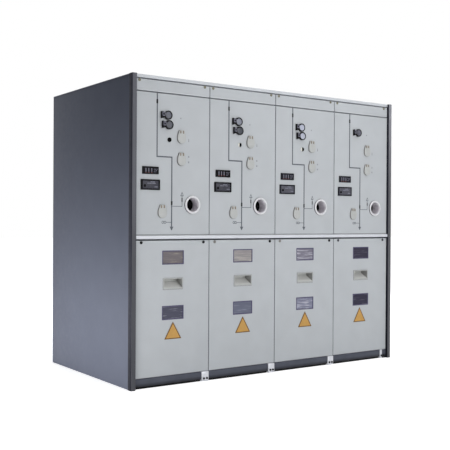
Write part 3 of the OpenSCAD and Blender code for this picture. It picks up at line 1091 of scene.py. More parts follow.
give(cup, *pull_paints)
paint_faces(cup, pull_paints.index(pull_inside_lit), inside_cup)
paint_faces(cup, pull_paints.index(pull_shade), side_wall)
paint_faces(cup, pull_paints.index(pull_outline_shadow), on_outline)
row_of(cup, "pull_cup", "pull_plastic", pull_paints, "pull_handle")

# %% [markdown]
# ## Windows
# The windows of the cable covers are clear sheets behind a dark rubber seal. Each one is tinted in
# its own way and carries wavy light streaks, which are painted reflections of the room. The seal is a
# block whose front and back are inset and bridged, which leaves a frame. The pane is a sheet with a
# ground edge.

# %% Seals
SEAL_W = 5 * MM
SEAL_PROUD = 0.8 * MM
SEAL_SOFT = 0.9 * MM
seal_rubber = coat(
    "seal_rubber", tone(84, 80, 108), (0.45, 0.60), spread=0.12, cloud=90, peel=1500,
    Specular_IOR_Level=0.15)


def window_seal(name, box):
    """Rubber frame in one window opening."""
    low, high = box
    front = door_y - SEAL_PROUD
    piece = start_block(name, (low.x, front, low.z), (high.x, high.y, high.z))

    def front_or_back(face):
        return abs(face.normal.y) > STRAIGHT

    pick(piece, "FACE", front_or_back)
    bpy.ops.mesh.inset(thickness=SEAL_W)

    def inner(face):
        inside = all(low.x + SEAL_W / 2 < corner.co.x < high.x - SEAL_W / 2 for corner in face.verts)
        return inside and front_or_back(face)

    pick(piece, "FACE", inner)
    bpy.ops.mesh.bridge_edge_loops()
    let_go()
    softened(piece, SEAL_SOFT, 3)
    return piece


for level, boxes in (("upper", upper_panes), ("lower", lower_panes)):
    seal = window_seal(f"{level}_seal", boxes[0])
    row_of(seal, f"{level}_seal", f"{level}_pane", [seal_rubber])

# %% Finish of the panes
STREAKS_ALONG = 9
STREAKS_ACROSS = 150
REFLECTION_SCALE = 1.6
REFLECTION_DETAIL = 4.0
REFLECTION_DARK, REFLECTION_PLAIN, REFLECTION_LIGHT = 0.35, 0.62, 0.66
REFLECTION_SHADE = 0.88
PANE_GLOSS = (0.28, 0.44)
PANE_CLOUD = 25
WAVE_STRENGTH = 0.35
WAVE_DEPTH = 0.6 * MM


def pane_finish(name, colour, light, amount):
    """Tinted sheet with wavy streaks of painted reflection: a colour, the colour of its streaks and their
    amount.
    """
    finish, shader, place = blank(name, Specular_IOR_Level=0.16)
    stretch = new_node(finish, "ShaderNodeMapping")
    stretch.inputs["Scale"].default_value = (STREAKS_ALONG, STREAKS_ALONG, STREAKS_ACROSS)
    link(finish, place, stretch.inputs["Vector"])
    reflection_streaks = noise(finish, stretch.outputs["Vector"], REFLECTION_SCALE, REFLECTION_DETAIL)
    dark = scaled(colour, REFLECTION_SHADE)
    tones = ((REFLECTION_DARK, dark), (REFLECTION_PLAIN - amount, colour), (REFLECTION_LIGHT, light))
    link(finish, ramp(finish, reflection_streaks, tones), shader.inputs["Base Color"])
    uneven_gloss(finish, shader, place, *PANE_GLOSS, PANE_CLOUD)
    waves = new_node(finish, "ShaderNodeBump", Strength=WAVE_STRENGTH, Distance=WAVE_DEPTH)
    link(finish, reflection_streaks, waves.inputs["Height"])
    link(finish, waves.outputs["Normal"], shader.inputs["Normal"])
    return finish


# Tone of each pane and colour of its streaks, which are painted reflections of the room.
upper_looks = [
    (tone(112, 106, 109), tone(138, 131, 126), 0.04), (tone(150, 146, 147), tone(178, 172, 165), 0.08),
    (tone(122, 120, 134), tone(186, 184, 194), 0.12), (tone(53, 49, 67), tone(84, 80, 96), 0.02)]
lower_looks = [
    (tone(76, 76, 92), tone(130, 130, 142), 0.02), (tone(102, 105, 123), tone(122, 126, 142), 0.05),
    (tone(126, 128, 148), tone(194, 195, 206), 0.11), (tone(45, 42, 61), tone(90, 86, 101), 0.03)]
print("looks of panes:", len(upper_looks) + len(lower_looks))

# %% Panes
GROUND_EDGE = (0.7 * MM, 0.3 * MM)
CROWN = (14 * MM, 0.25 * MM)


def inset_by(*steps):
    """Insets the selected faces of the open piece by steps of (inward, rise)."""
    for inward, rise in steps:
        bpy.ops.mesh.inset(thickness=inward, depth=rise)


def pane(name, box):
    """Sheet of one window with a ground edge and a slightly crowned face."""
    low, high = box
    piece = start_block(name, low, high)
    pick(piece, "FACE", flat_at(low.y))
    inset_by(GROUND_EDGE, CROWN)
    let_go()
    return piece


for level, boxes, looks in (("upper", upper_panes, upper_looks), ("lower", lower_panes, lower_looks)):
    panes = for_each_unit(pane(f"{level}_pane", boxes[0]), f"{level}_pane")
    for unit, piece, look in zip(UNITS, panes, looks):
        finish = pane_finish(f"{level}_film_{unit}", *look)
        done(piece, f"{level}_pane", [finish], f"{level}_windows")

# %% [markdown]
# ## Socket caps
# Three hand-crank sockets a unit are closed by moulded caps: a narrow neck at the top, where two
# brass ears hold them, shoulders, and a round foot. A block is cut into rows by bisecting it, each
# row gets its width, the corners get two bevels of different radius, and the face is built up by
# insets: rim, groove and a low crown. The insets stay smaller than the smallest corner radius,
# because corners fold over otherwise. The flanks are duller than the face, and painted darker as
# painted shade.

# %% Moulded caps
CAP_LOW_R = 22 * MM
CAP_TOP_R = 8 * MM
CAP_WIDTHS = ((0.0, 0.70), (0.16, 0.72), (0.31, 0.90), (0.46, 1.0))
CAP_RIM = 2.4 * MM
CAP_FACE = (
    (0.8 * MM, 1.0 * MM), (1.2 * MM, 0.7 * MM), (2.2 * MM, 0.0), (0.3 * MM, -0.3 * MM),
    (0.6 * MM, 0.0), (0.3 * MM, 0.3 * MM), (1.6 * MM, 0.4 * MM))
cap_boxes = shells("socket_caps")
cap_white = coat(
    "cap_white", tone(176, 178, 177), (0.36, 0.50), spread=0.03, cloud=45, peel=1200, Specular_IOR_Level=0.4)
# Painted shade for the flanks of the caps.
cap_flank_shade = coat(
    "cap_flank_shade", tone(146, 145, 143), (0.45, 0.60), spread=0.05, cloud=45, peel=1200, Specular_IOR_Level=0.2)


def depth_edges(level):
    """Test for the edges that run from front to back at one height."""
    return lambda edge: along_depth(edge) and near(edge.verts[0].co.z, level)


def socket_cap(name, box):
    """One cap with its round foot, its shoulders, its narrow neck and its built-up face."""
    low, high = box
    piece = start_block(name, low, high)
    give(piece, cap_white, cap_flank_shade)
    rows = [(high.z - (high.z - low.z) * down, wide) for down, wide in CAP_WIDTHS]
    for level, _ in rows[1:]:
        bpy.ops.mesh.select_all(action="SELECT")
        bpy.ops.mesh.bisect(plane_co=(0, 0, level), plane_no=(0, 0, 1))
    for level, wide in rows:
        pick(piece, "VERT", lambda corner: near(corner.co.z, level))
        row_middle = ((low.x + high.x) / 2, low.y, level)
        bpy.ops.transform.resize(value=(wide, 1, 1), center_override=row_middle)
    pick(piece, "EDGE", depth_edges(low.z))
    bpy.ops.mesh.bevel(offset=CAP_LOW_R, segments=12, profile=0.5)
    pick(piece, "EDGE", depth_edges(high.z))
    bpy.ops.mesh.bevel(offset=CAP_TOP_R, segments=7, profile=0.5)
    pick(piece, "FACE", looks_out)
    bpy.ops.mesh.dissolve_faces()
    bpy.ops.transform.translate(value=(0, CAP_RIM, 0))
    inset_by(*CAP_FACE)
    let_go()
    paint_faces(piece, 1, lambda face: face.normal.y > -FLANK_TURN)
    return piece


cap_names = [f"{kind}_cap_{unit}" for unit in UNITS for kind in ("breaker", "isolator", "earth")]
for twin in copies_at(socket_cap("cap_pattern", cap_boxes[0]), cap_names, cap_boxes):
    done(twin, "cap_plastic", [cap_white, cap_flank_shade], "socket_caps")

# %% [markdown]
# ## Screws
# Every screw head here is a turned pan head with a cross recess. One is modelled by insetting and
# raising the end of a round bar, and two thin blocks cut the cross. It is then copied to its places
# with the finish of that place. Some of the cover screws are pale grey and some dark grey instead of black.

# %% Screw head
HEAD_EDGE = 0.45
HEAD_SUNK = 0.3 * MM
HEAD_STEPS = ((0.18, 0.30), (0.28, 0.20))
RECESS_LONG, RECESS_THIN = 0.62, 0.13
RECESS_FROM, RECESS_TO = 1.5, 0.42


def screw_pattern(name, radius, out):
    """Pan head at the origin of the door face, with a cross recess."""
    edge = out * HEAD_EDGE
    piece = start_round(name, (0, door_y - edge, 0), radius, edge + HEAD_SUNK, 28)
    pick(piece, "FACE", looks_out)
    inset_by(*((radius * inward, out * rise) for inward, rise in HEAD_STEPS))
    let_go()
    long, thin = radius * RECESS_LONG, radius * RECESS_THIN
    for x, z in ((long, thin), (thin, long)):
        slot = start_block(
            "slot", (-x, door_y - out * RECESS_FROM, -z), (x, door_y - out * RECESS_TO, z))
        combine(piece, slot, "DIFFERENCE")
    return piece


def screws_at(name, radius, out, places, slot, finish, turn=None):
    """Copies a screw head to its places and joins them. On another side, the head is turned first."""
    pattern = screw_pattern("screw_pattern", radius, out)
    if turn is not None:
        pattern.data.transform(turn @ Matrix.Translation((0, -door_y, 0)))
    heads = [copy_of(pattern, f"{name}_head", Vector(place)) for place in places]
    bpy.data.objects.remove(pattern)
    done(as_one(heads, name), slot, [finish])


print("screw head ready")

# %% Metals
dull_brass = coat(
    "dull_brass", tone(122, 112, 101), (0.38, 0.52), spread=0.15, cloud=300, peel=2500, Metallic=0.2)
olive_zinc = coat(
    "olive_zinc", tone(112, 109, 92), (0.38, 0.52), spread=0.15, cloud=300, peel=2500, Metallic=0.4)
black_zinc = coat(
    "black_zinc", tone(14, 14, 16), (0.42, 0.56), spread=0.15, cloud=300, peel=2500, Specular_IOR_Level=0.12)
pale_zinc = coat(
    "pale_zinc", tone(132, 128, 125), (0.38, 0.52), spread=0.12, cloud=300, peel=2500,
    Specular_IOR_Level=0.3)
grey_zinc = coat(
    "grey_zinc", tone(70, 70, 76), (0.42, 0.56), spread=0.15, cloud=300, peel=2500, Specular_IOR_Level=0.12)
bright_zinc = coat(
    "bright_zinc", tone(186, 188, 192), (0.30, 0.45), spread=0.08, cloud=200, peel=2500, Metallic=0.8)

# %% Header and cover screws
HEADER_SCREWS = (20 * MM, 389 * MM)
HEADER_DROP = 8 * MM
HEADER_HEAD = (7.0 * MM, 3.4 * MM)
COVER_SCREWS = (33 * MM, 385 * MM)
COVER_DROP = 8.5 * MM
COVER_HEAD = (7.4 * MM, 4.2 * MM)
header_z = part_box("header_panel_1")[1].z - HEADER_DROP
cover_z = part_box("cable_cover_1")[1].z - COVER_DROP
header_places = [(seam + x, 0, header_z) for seam in seams for x in HEADER_SCREWS]
cover_places = [(seam + x, 0, cover_z) for seam in seams for x in COVER_SCREWS]
BLACK_ONES = (0, 1, 3, 5)
PALE_ONES = (2, 4)
GREY_ONES = (6, 7)
screws_at("header_screws", *HEADER_HEAD, header_places, "door_paint", olive_zinc)
for name, finish, ones in (
        ("cover_screws", black_zinc, BLACK_ONES), ("pale_cover_screws", pale_zinc, PALE_ONES),
        ("grey_cover_screws", grey_zinc, GREY_ONES)):
    screws_at(name, *COVER_HEAD, [cover_places[one] for one in ones], "door_paint", finish)

# %% [markdown]
# Two upright brass ears on the neck of each cap hold the pin that it swings on. One is a small block
# with round ends and a raised middle, and the others are copies.

# %% Brass ears
EAR_HALF = 3.8 * MM
EAR_TALL = 15 * MM
EAR_OUT = 1.6 * MM
EAR_SUNK = 1.4 * MM
EAR_BESIDE = 7.7 * MM
EAR_DOWN = 2.5 * MM
EAR_ROUND = 0.9
EAR_FACE = ((0.6 * MM, 0.5 * MM), (1.0 * MM, 0.3 * MM))


def brass_ear(name, middle_x, back, top):
    """Upright ear with round ends and a raised middle."""
    piece = start_block(
        name, (middle_x - EAR_HALF, back - EAR_OUT, top - EAR_TALL), (middle_x + EAR_HALF, back, top))
    pick(piece, "EDGE", along_depth)
    bpy.ops.mesh.bevel(offset=EAR_HALF * EAR_ROUND, segments=5, profile=0.5)
    pick(piece, "FACE", looks_out)
    inset_by(*EAR_FACE)
    let_go()
    return piece


ear_low, ear_high = cap_boxes[0]
first_x = (ear_low.x + ear_high.x) / 2 - EAR_BESIDE
first_ear = brass_ear("ear_pattern", first_x, ear_low.y + EAR_SUNK, ear_high.z - EAR_DOWN)
ears = []
for low, _ in cap_boxes:
    for aside in (0.0, 2 * EAR_BESIDE):
        ears.append(copy_of(first_ear, "ear", low - ear_low + Vector((aside, 0, 0))))
bpy.data.objects.remove(first_ear)
done(as_one(ears, "cap_ears"), "cap_plastic", [dull_brass])

# %% [markdown]
# ## Push buttons
# Each button hides under a hinged black guard: a block with a grey clip on the left, a narrow neck
# and a round lid. The block's front is cut in two by a bisect, and the upper part is inset and raised
# for the clip, with a slot in it. Block and disc are united, and then all edges are softened at once,
# so the neck blends as a moulding does. The lids are glossy and mirror the room, and that reflection is
# painted on: each lid has a grey of its own.

# %% Guards
guard_boxes = shells("button_guards")
lid_boxes = shells("button_lids")
guard_black = coat(
    "guard_black", tone(8, 8, 10), (0.30, 0.42), spread=0.15, cloud=60, peel=1500, depth=0.08 * MM,
    Specular_IOR_Level=0.1)
clip_grey = coat(
    "clip_grey", tone(112, 112, 126), (0.30, 0.44), spread=0.12, cloud=90, peel=1500, Specular_IOR_Level=0.2)
BLOCK_HALF = 17.5 * MM
BLOCK_W = 22 * MM
NECK_SHARE = 0.70
NECK_BACK = 4 * MM
GUARD_SOFT = 0.8 * MM
CLIP_FOOT = 7 * MM
CLIP_EDGE = 1.4 * MM
CLIP_T = 0.9 * MM
CLIP_BAND = 3.8 * MM
CLIP_STEP = 0.4 * MM
GUARD_RING = 10 * MM
LID_SEAT = 5.5 * MM


def button_guard(name, box, lid):
    """One guard: block with its clip, tapered neck, ring and the seat of its lid."""
    low, high = box
    centre = (lid[0] + lid[1]) / 2
    neck_x = low.x + BLOCK_W
    piece = start_block(
        name, (low.x, low.y, centre.z - BLOCK_HALF), (neck_x, door_y, centre.z + BLOCK_HALF))
    give(piece, guard_black, clip_grey)
    pick(piece, "VERT", lambda corner: near(corner.co.x, neck_x))
    bpy.ops.transform.resize(value=(1, 1, NECK_SHARE), center_override=(neck_x, door_y, centre.z))
    pick(piece, "VERT", lambda corner: near(corner.co.x, neck_x) and near(corner.co.y, low.y))
    bpy.ops.transform.translate(value=(0, NECK_BACK, 0))
    bpy.ops.mesh.select_all(action="SELECT")
    clip_z = centre.z - CLIP_FOOT
    bpy.ops.mesh.bisect(plane_co=(0, 0, clip_z), plane_no=(0, 0, 1))
    pick(piece, "FACE", lambda face: face.normal.y < -FLANK_TURN and face.calc_center_median().z > clip_z)
    inset_by((CLIP_EDGE, 0.0), (CLIP_STEP, CLIP_T))
    assign(piece, 1)
    inset_by((CLIP_BAND, 0.0), (CLIP_STEP, -CLIP_T))
    assign(piece, 0)
    let_go()
    disc_at = (centre.x, door_y - GUARD_RING, centre.z)
    disc = start_round("disc", disc_at, high.x - centre.x, GUARD_RING, 64)
    combine(piece, disc, "UNION")
    seat_at = (centre.x, door_y - 2 * GUARD_RING, centre.z)
    seat_r = (lid[1].x - lid[0].x) / 2
    seat = start_round("seat", seat_at, seat_r, 2 * GUARD_RING - LID_SEAT, 64)
    combine(piece, seat, "DIFFERENCE")
    softened(piece, GUARD_SOFT)
    return piece


guard = button_guard("guard_pattern", guard_boxes[0], lid_boxes[0])
buttons = [f"{kind}_{{}}_{unit}" for unit in UNITS for kind in ("close", "open")][:len(guard_boxes)]
guard_names = [button.format("guard") for button in buttons]
for twin in copies_at(guard, guard_names, guard_boxes):
    done(twin, "guard_plastic", [guard_black, clip_grey], "button_guards")

# %% Lids
LID_RIM = ((0.6 * MM, 0.5 * MM), (2.6 * MM, 0.5 * MM))
LID_DOME = ((5 * MM, 0.45 * MM), (6 * MM, 0.2 * MM))
# Painted reflections: the grey of each lid stands for the room that it mirrors.
LID_REFLECTION_TONES = (
    tone(82, 84, 94), tone(75, 77, 86), tone(126, 129, 140), tone(66, 69, 76), tone(176, 180, 196),
    tone(178, 182, 196), tone(96, 96, 107))
LID_SPREADS = (0.45, 0.45, 0.20, 0.45, 0.12, 0.12, 0.30)
lid_finishes = []
for count, (colour, spread) in enumerate(zip(LID_REFLECTION_TONES, LID_SPREADS), 1):
    lid_finishes.append(coat(
        f"lid_gloss_{count}", colour, (0.14, 0.26), spread=spread, cloud=42, Specular_IOR_Level=0.2))


def domed_lid(name, box):
    """Disc with a black rounded rim and a low dome in a second finish, the grey of a painted reflection."""
    low, high = box
    centre = (low + high) / 2
    radius = (high.x - low.x) / 2
    piece = start_round(name, (centre.x, low.y, centre.z), radius, high.y - low.y, 48)
    give(piece, guard_black, lid_finishes[0])
    pick(piece, "FACE", looks_out)
    inset_by(*LID_RIM)
    assign(piece, 1)
    inset_by(*LID_DOME)
    let_go()
    return piece


lid_names = [button.format("lid") for button in buttons]
lids = copies_at(domed_lid("lid_pattern", lid_boxes[0]), lid_names, lid_boxes)
for twin, finish in zip(lids, lid_finishes):
    done(twin, "lid_plastic", [guard_black, finish], "button_lids")

# %% [markdown]
# ## Instruments
# Two black instruments sit side by side with the mimic line: a voltage indicator with three light
# bars and a group of small cells, and a fault display with a screen and a key behind a rim. Those of
# units 3 and 4 are paler. Their cases are blocks with rounded corners, and the bars, the cells and
# the lines on the screen are small raised pieces of their own.

# %% Instrument cases
volt_boxes = shells("voltage_indicators")
fault_boxes = shells("fault_displays")
case_black = coat(
    "case_black", tone(9, 9, 12), (0.34, 0.48), spread=0.12, cloud=60, peel=1600, Specular_IOR_Level=0.05)
# Paler copy of the case colour for units 3 and 4.
case_paler = coat(
    "case_paler", tone(36, 36, 42), (0.40, 0.54), spread=0.12, cloud=60, peel=1600, Specular_IOR_Level=0.05)
case_finishes = (case_black, case_black, case_paler, case_paler)
CASE_EDGE = (0.7 * MM, 0.8 * MM)
CASE_SLOPE = 0.4 * MM
CASE_CORNER = 2 * MM
VOLT_RIM, VOLT_SET = 3.2 * MM, 1.0 * MM
FAULT_RIM, FAULT_SET = 4.2 * MM, 1.5 * MM


def case(name, box, rim, set_back):
    """Case with rounded corners, whose field lies behind a rim."""
    low, high = box
    piece = start_block(name, low, high)
    pick(piece, "FACE", looks_out)
    bpy.ops.transform.translate(value=(0, CASE_EDGE[1], 0))
    inset_by(CASE_EDGE, (rim, 0.0), (CASE_SLOPE, -set_back))

    def outer_corner(edge):
        at_sides = all(near(end.co.x, low.x) or near(end.co.x, high.x) for end in edge.verts)
        return along_depth(edge) and at_sides

    pick(piece, "EDGE", outer_corner)
    bpy.ops.mesh.bevel(offset=CASE_CORNER, segments=4, profile=0.5)
    let_go()
    return piece


volt_case = case("volt_case", volt_boxes[0], VOLT_RIM, VOLT_SET)
for piece, finish in zip(for_each_unit(volt_case, "volt_case"), case_finishes):
    done(piece, "indicator_case", [finish], "voltage_indicators")
fault_case = case("fault_case", fault_boxes[0], FAULT_RIM, FAULT_SET)
for piece, finish in zip(for_each_unit(fault_case, "fault_case"), case_finishes):
    done(piece, "display_case", [finish], "fault_displays")

# %% Light bars
BAR_X = (18.5 * MM, 34 * MM, 50 * MM)
BAR_HALF = 2.7 * MM
BAR_FOOT, BAR_TOP = 10 * MM, 8 * MM
TIP_FOOT, TIP_TOP = 5 * MM, 8.5 * MM
BAR_OUT, BAR_IN = 0.4 * MM, 0.3 * MM
CELLS = ((64, 24), (72, 24), (68, 17.5), (76, 17.5), (64, 11), (72, 11), (80, 24))
CELL_HALF = 1.9 * MM
SOFT_RISE = 0.6
bar_grey = coat(
    "bar_grey", tone(112, 112, 126), (0.30, 0.45), spread=0.10, cloud=120, Specular_IOR_Level=0.2)
bar_tip = coat("bar_tip", tone(120, 76, 70), (0.30, 0.45), spread=0.12, cloud=120, Specular_IOR_Level=0.2)


def small_bar(name, low, high, soft=0.5 * MM):
    """Small block with soft edges, such as a light bar or a printed mark."""
    piece = start_block(name, low, high)
    pick(piece, "FACE", looks_out)
    inset_by((soft, soft * SOFT_RISE))
    let_go()
    return piece


low, high = volt_boxes[0]
bar_front = low.y + VOLT_SET - BAR_OUT
bar_back = low.y + VOLT_SET + BAR_IN
bars, tips = [], []
for x in BAR_X:
    left, right = low.x + x - BAR_HALF, low.x + x + BAR_HALF
    bars.append(small_bar(
        "bar", (left, bar_front, low.z + BAR_FOOT), (right, bar_back, high.z - BAR_TOP)))
    tips.append(small_bar(
        "tip", (left, bar_front, low.z + TIP_FOOT), (right, bar_back, low.z + TIP_TOP)))
for x, z in CELLS:
    cell_x, cell_z = low.x + x * MM, low.z + z * MM
    bars.append(small_bar(
        "cell", (cell_x - CELL_HALF, bar_front, cell_z - CELL_HALF),
        (cell_x + CELL_HALF, bar_back, cell_z + CELL_HALF)))
row_of(as_one(bars, "volt_bars"), "volt_bars", "indicator_case", [bar_grey])
row_of(as_one(tips, "volt_tips"), "volt_tips", "indicator_case", [bar_tip])

# %% Screen of the fault display
screen_grey = coat(
    "screen_grey", tone(66, 66, 75), (0.20, 0.32), spread=0.10, cloud=40, peel=300, Specular_IOR_Level=0.1)
screen_paler = coat(
    "screen_paler", tone(84, 84, 93), (0.24, 0.36), spread=0.10, cloud=40, peel=300, Specular_IOR_Level=0.1)
screen_finishes = (screen_grey, screen_grey, screen_paler, screen_paler)
SCREEN_LEFT, SCREEN_RIGHT, SCREEN_EDGE = 10 * MM, 8.5 * MM, 6.5 * MM
SCREEN_OUT, SCREEN_IN = 0.3 * MM, 0.4 * MM
low, high = fault_boxes[0]
field_y = low.y + FAULT_SET
screen = small_bar(
    "screen", (low.x + SCREEN_LEFT, field_y - SCREEN_OUT, low.z + SCREEN_EDGE),
    (high.x - SCREEN_RIGHT, field_y + SCREEN_IN, high.z - SCREEN_EDGE))
for piece, finish in zip(for_each_unit(screen, "fault_screen"), screen_finishes):
    done(piece, "display_case", [finish])

# %% Lines and key of the fault display
screen_line = coat(
    "screen_line", tone(128, 130, 144), (0.30, 0.45), spread=0.10, cloud=120, Specular_IOR_Level=0.2)
LINES = ((34, 57, 30), (60, 80, 30.5), (74, 92, 13.5), (52, 76, 37))
LINE_TALL = 2.8
LINE_OUT, LINE_IN = 0.9 * MM, 0.2 * MM
MARK_SOFT = 0.3 * MM
KEY_X, KEY_UP, KEY_R = 20.5 * MM, 20 * MM, 6.8 * MM
KEY_OUT, KEY_DEEP = 1.4 * MM, 1.5 * MM
KEY_FACE = (0.7 * MM, 0.4 * MM)
lines = []
for start, end, up in LINES:
    lines.append(small_bar(
        "line", (low.x + start * MM, field_y - LINE_OUT, low.z + up * MM),
        (low.x + end * MM, field_y - LINE_IN, low.z + (up + LINE_TALL) * MM), MARK_SOFT))
row_of(as_one(lines, "fault_lines"), "fault_lines", "display_case", [screen_line])
key_at = (low.x + KEY_X, field_y - KEY_OUT, low.z + KEY_UP)
key = start_round("fault_key", key_at, KEY_R, KEY_DEEP, 28)
pick(key, "FACE", looks_out)
inset_by(KEY_FACE)
row_of(key, "fault_key", "display_case", [case_black])

# %% [markdown]
# ## Spring indicators
# A small round eye on units 1 to 3 shows whether the spring is charged: a rim, and behind it a flag
# with a white part on the left. The rim is white there too. On unit 1 the flag has turned to black.
# The whole eye is bisected, so that the white ends in a straight line.

# %% Eyes
EYE_SPLIT = Vector((2.8 * MM, 0, 0))
EYE_SET = 0.6 * MM
EYE_FACE = ((0.6 * MM, 0.5 * MM), (0.9 * MM, 0.1 * MM), (0.5 * MM, -1.2 * MM))
eye_boxes = shells("spring_indicators")
eye_black = coat(
    "eye_black", tone(4, 4, 5), (0.40, 0.55), spread=0.15, cloud=120, Specular_IOR_Level=0.03)
eye_white = coat("eye_white", tone(236, 234, 226), (0.25, 0.40), spread=0.03, cloud=120)


def eye(name, box):
    """Rim and flag of one spring indicator, cut where the white part on the left ends."""
    low, high = box
    centre = (low + high) / 2
    radius = (high.x - low.x) / 2
    front = (centre.x, low.y + EYE_SET, centre.z)
    piece = start_round(name, front, radius, high.y - low.y - EYE_SET, 40)
    pick(piece, "FACE", looks_out)
    inset_by(*EYE_FACE)
    bpy.ops.mesh.select_all(action="SELECT")
    bpy.ops.mesh.bisect(plane_co=centre - EYE_SPLIT, plane_no=(1, 0, 0))
    let_go()
    return piece


eye_names = [f"spring_eye_{unit}" for unit in UNITS[:len(eye_boxes)]]
eyes = copies_at(eye("eye_pattern", eye_boxes[0]), eye_names, eye_boxes)
for twin, (low, high), flag in zip(eyes, eye_boxes, (eye_black, eye_white, eye_white)):
    done(twin, "eye_plastic", [eye_black, flag], "spring_indicators")
    split_x = (low.x + high.x) / 2 - EYE_SPLIT.x
    paint_faces(twin, 1, lambda face: face.calc_center_median().x < split_x)

# %% [markdown]
# ## Marker plates
# A blank amber plate with three sides and a dark brown border sits on each cable cover. A bar with
# three sides is the start; the inset face becomes the field and the rest keeps the border's finish.

# %% Amber plates
MARKER_BORDER = 4.6 * MM
MARKER_SET = (0.3 * MM, -0.25 * MM)
MARKER_CORNER = 1.8 * MM
marker_boxes = shells("marker_plates")
amber = coat("amber", tone(191, 147, 77), (0.34, 0.48), spread=0.05, cloud=40, Specular_IOR_Level=0.3)
brown = coat("brown", tone(112, 80, 40), (0.34, 0.48), spread=0.10, cloud=60, Specular_IOR_Level=0.2)


def marker(name, box):
    """Three-sided plate with an inset field and round corners."""
    low, high = box
    reach = (high.z - low.z) * 2 / 3
    centre = Vector(((low.x + high.x) / 2, low.y, high.z - reach))
    piece = start_round(name, centre, reach, high.y - low.y, 3)
    bpy.ops.mesh.select_all(action="SELECT")
    wide = (high.x - low.x) / (reach * 3 ** 0.5)
    bpy.ops.transform.resize(value=(wide, 1, 1), center_override=centre)
    pick(piece, "FACE", looks_out)
    inset_by((MARKER_BORDER, 0.0))
    give(piece, brown, amber)
    assign(piece, 1)
    inset_by(MARKER_SET)

    def outer_corner(edge):
        along_y = abs(edge.verts[0].co.y - edge.verts[1].co.y)
        return along_y > (high.y - low.y) / 2

    pick(piece, "EDGE", outer_corner)
    bpy.ops.mesh.bevel(offset=MARKER_CORNER, segments=3, profile=0.5)
    let_go()
    return piece


marker_names = [f"amber_marker_{unit}" for unit in UNITS]
for twin in copies_at(marker("marker_pattern", marker_boxes[0]), marker_names, marker_boxes):
    done(twin, "marker_face", [brown, amber], "marker_plates")

# %% [markdown]
# ## Mimic diagram
# A grey line on each mechanism panel shows how the power flows: down from the busbar, across, and
# down to the cables, where it ends in an arrow. It is a thin strip that is drawn on by extruding its
# end face round each corner. The two loops beside its foot and the triangle on its branch are flat
# turned rings. The small marks are thin plates with soft edges.

# %% Mimic line
LINE_W = 6.2 * MM
LINE_T = 0.35 * MM
LINE_SUNK = 0.2 * MM
LINE_DROP = 1.5 * MM
LINE_LEFT = 117 * MM
LINE_RIGHT = 200 * MM
LINE_TURN = 1108.5 * MM
LINE_FOOT = 772 * MM
line_grey = coat(
    "line_grey", tone(88, 92, 100), (0.45, 0.60), spread=0.06, cloud=60, Specular_IOR_Level=0.2)


def strip_on_door(name, left, foot, right, top):
    """Thin strip on the first door, with its sides measured from the seam and its ends from the floor."""
    return start_block(
        name, (seams[0] + left, door_y - LINE_T, foot), (seams[0] + right, door_y + LINE_SUNK, top))


def draw_on(piece, test, *moves):
    """Picks a face of the open strip and extrudes it by each move in turn."""
    pick(piece, "FACE", test)
    for move in moves:
        bpy.ops.mesh.extrude_region_move(TRANSFORM_OT_translate={"value": move})


HALF_W = LINE_W / 2
line_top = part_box("mechanism_panel_1")[1].z - LINE_DROP
line = strip_on_door("mimic_line", LINE_LEFT - HALF_W, LINE_TURN + HALF_W, LINE_LEFT + HALF_W, line_top)
draw_on(line, lambda face: face.normal.z < -STRAIGHT, (0, 0, -LINE_W))
corner_x = seams[0] + LINE_LEFT + HALF_W


def turn_face(face):
    spot = face.calc_center_median()
    return face.normal.x > STRAIGHT and near(spot.x, corner_x) and abs(spot.z - LINE_TURN) < LINE_W / 4


across = LINE_RIGHT - LINE_LEFT - LINE_W
draw_on(line, turn_face, (across, 0, 0), (LINE_W, 0, 0))


def fall_face(face):
    spot = face.calc_center_median()
    return face.normal.z < -STRAIGHT and abs(spot.x - seams[0] - LINE_RIGHT) < LINE_W / 4


draw_on(line, fall_face, (0, 0, LINE_FOOT - LINE_TURN + HALF_W))
let_go()
print("mimic line, faces", len(line.data.polygons))

# %% Arrow and branch
ARROW_TIP = 754 * MM
ARROW_HALF = 10.5 * MM
ARROW_POINT = 0.12
BRANCH_W = 2.6 * MM
BRANCH_Z = 871 * MM
BRANCH_X = 259 * MM
BRANCH_RISE = 50.2 * MM
arrow = strip_on_door("arrow", LINE_RIGHT - ARROW_HALF, ARROW_TIP, LINE_RIGHT + ARROW_HALF, LINE_FOOT)
pick(arrow, "VERT", lambda corner: near(corner.co.z, ARROW_TIP))
tip_at = (seams[0] + LINE_RIGHT, door_y, ARROW_TIP)
bpy.ops.transform.resize(value=(ARROW_POINT, 1, 1), center_override=tip_at)
let_go()
branch_half = BRANCH_W / 2
branch = strip_on_door(
    "branch", LINE_RIGHT + HALF_W, BRANCH_Z - branch_half, BRANCH_X - branch_half, BRANCH_Z + branch_half)
draw_on(branch, lambda face: face.normal.x > STRAIGHT, (BRANCH_W, 0, 0))


def riser_face(face):
    spot = face.calc_center_median()
    return face.normal.z > STRAIGHT and abs(spot.x - seams[0] - BRANCH_X) < BRANCH_W / 4


draw_on(branch, riser_face, (0, 0, BRANCH_RISE - branch_half))
let_go()
print("arrow and branch, faces", len(arrow.data.polygons) + len(branch.data.polygons))

# %% Loops and triangle
LOOP_Z = 793 * MM
LOOP_X = (151 * MM, 163 * MM)
LOOP_T = (LINE_T, LINE_T * 1.4)
LOOP_OUT, LOOP_IN = 6.8 * MM, 4.2 * MM
STEM_X, STEM_W = 172 * MM, 2.4 * MM
SYMBOL_AT = Vector((seams[0] + BRANCH_X, door_y, 928.3 * MM))
SYMBOL_OUT, SYMBOL_IN = 14 * MM, 8.2 * MM
SYMBOL_SLIM = 0.76


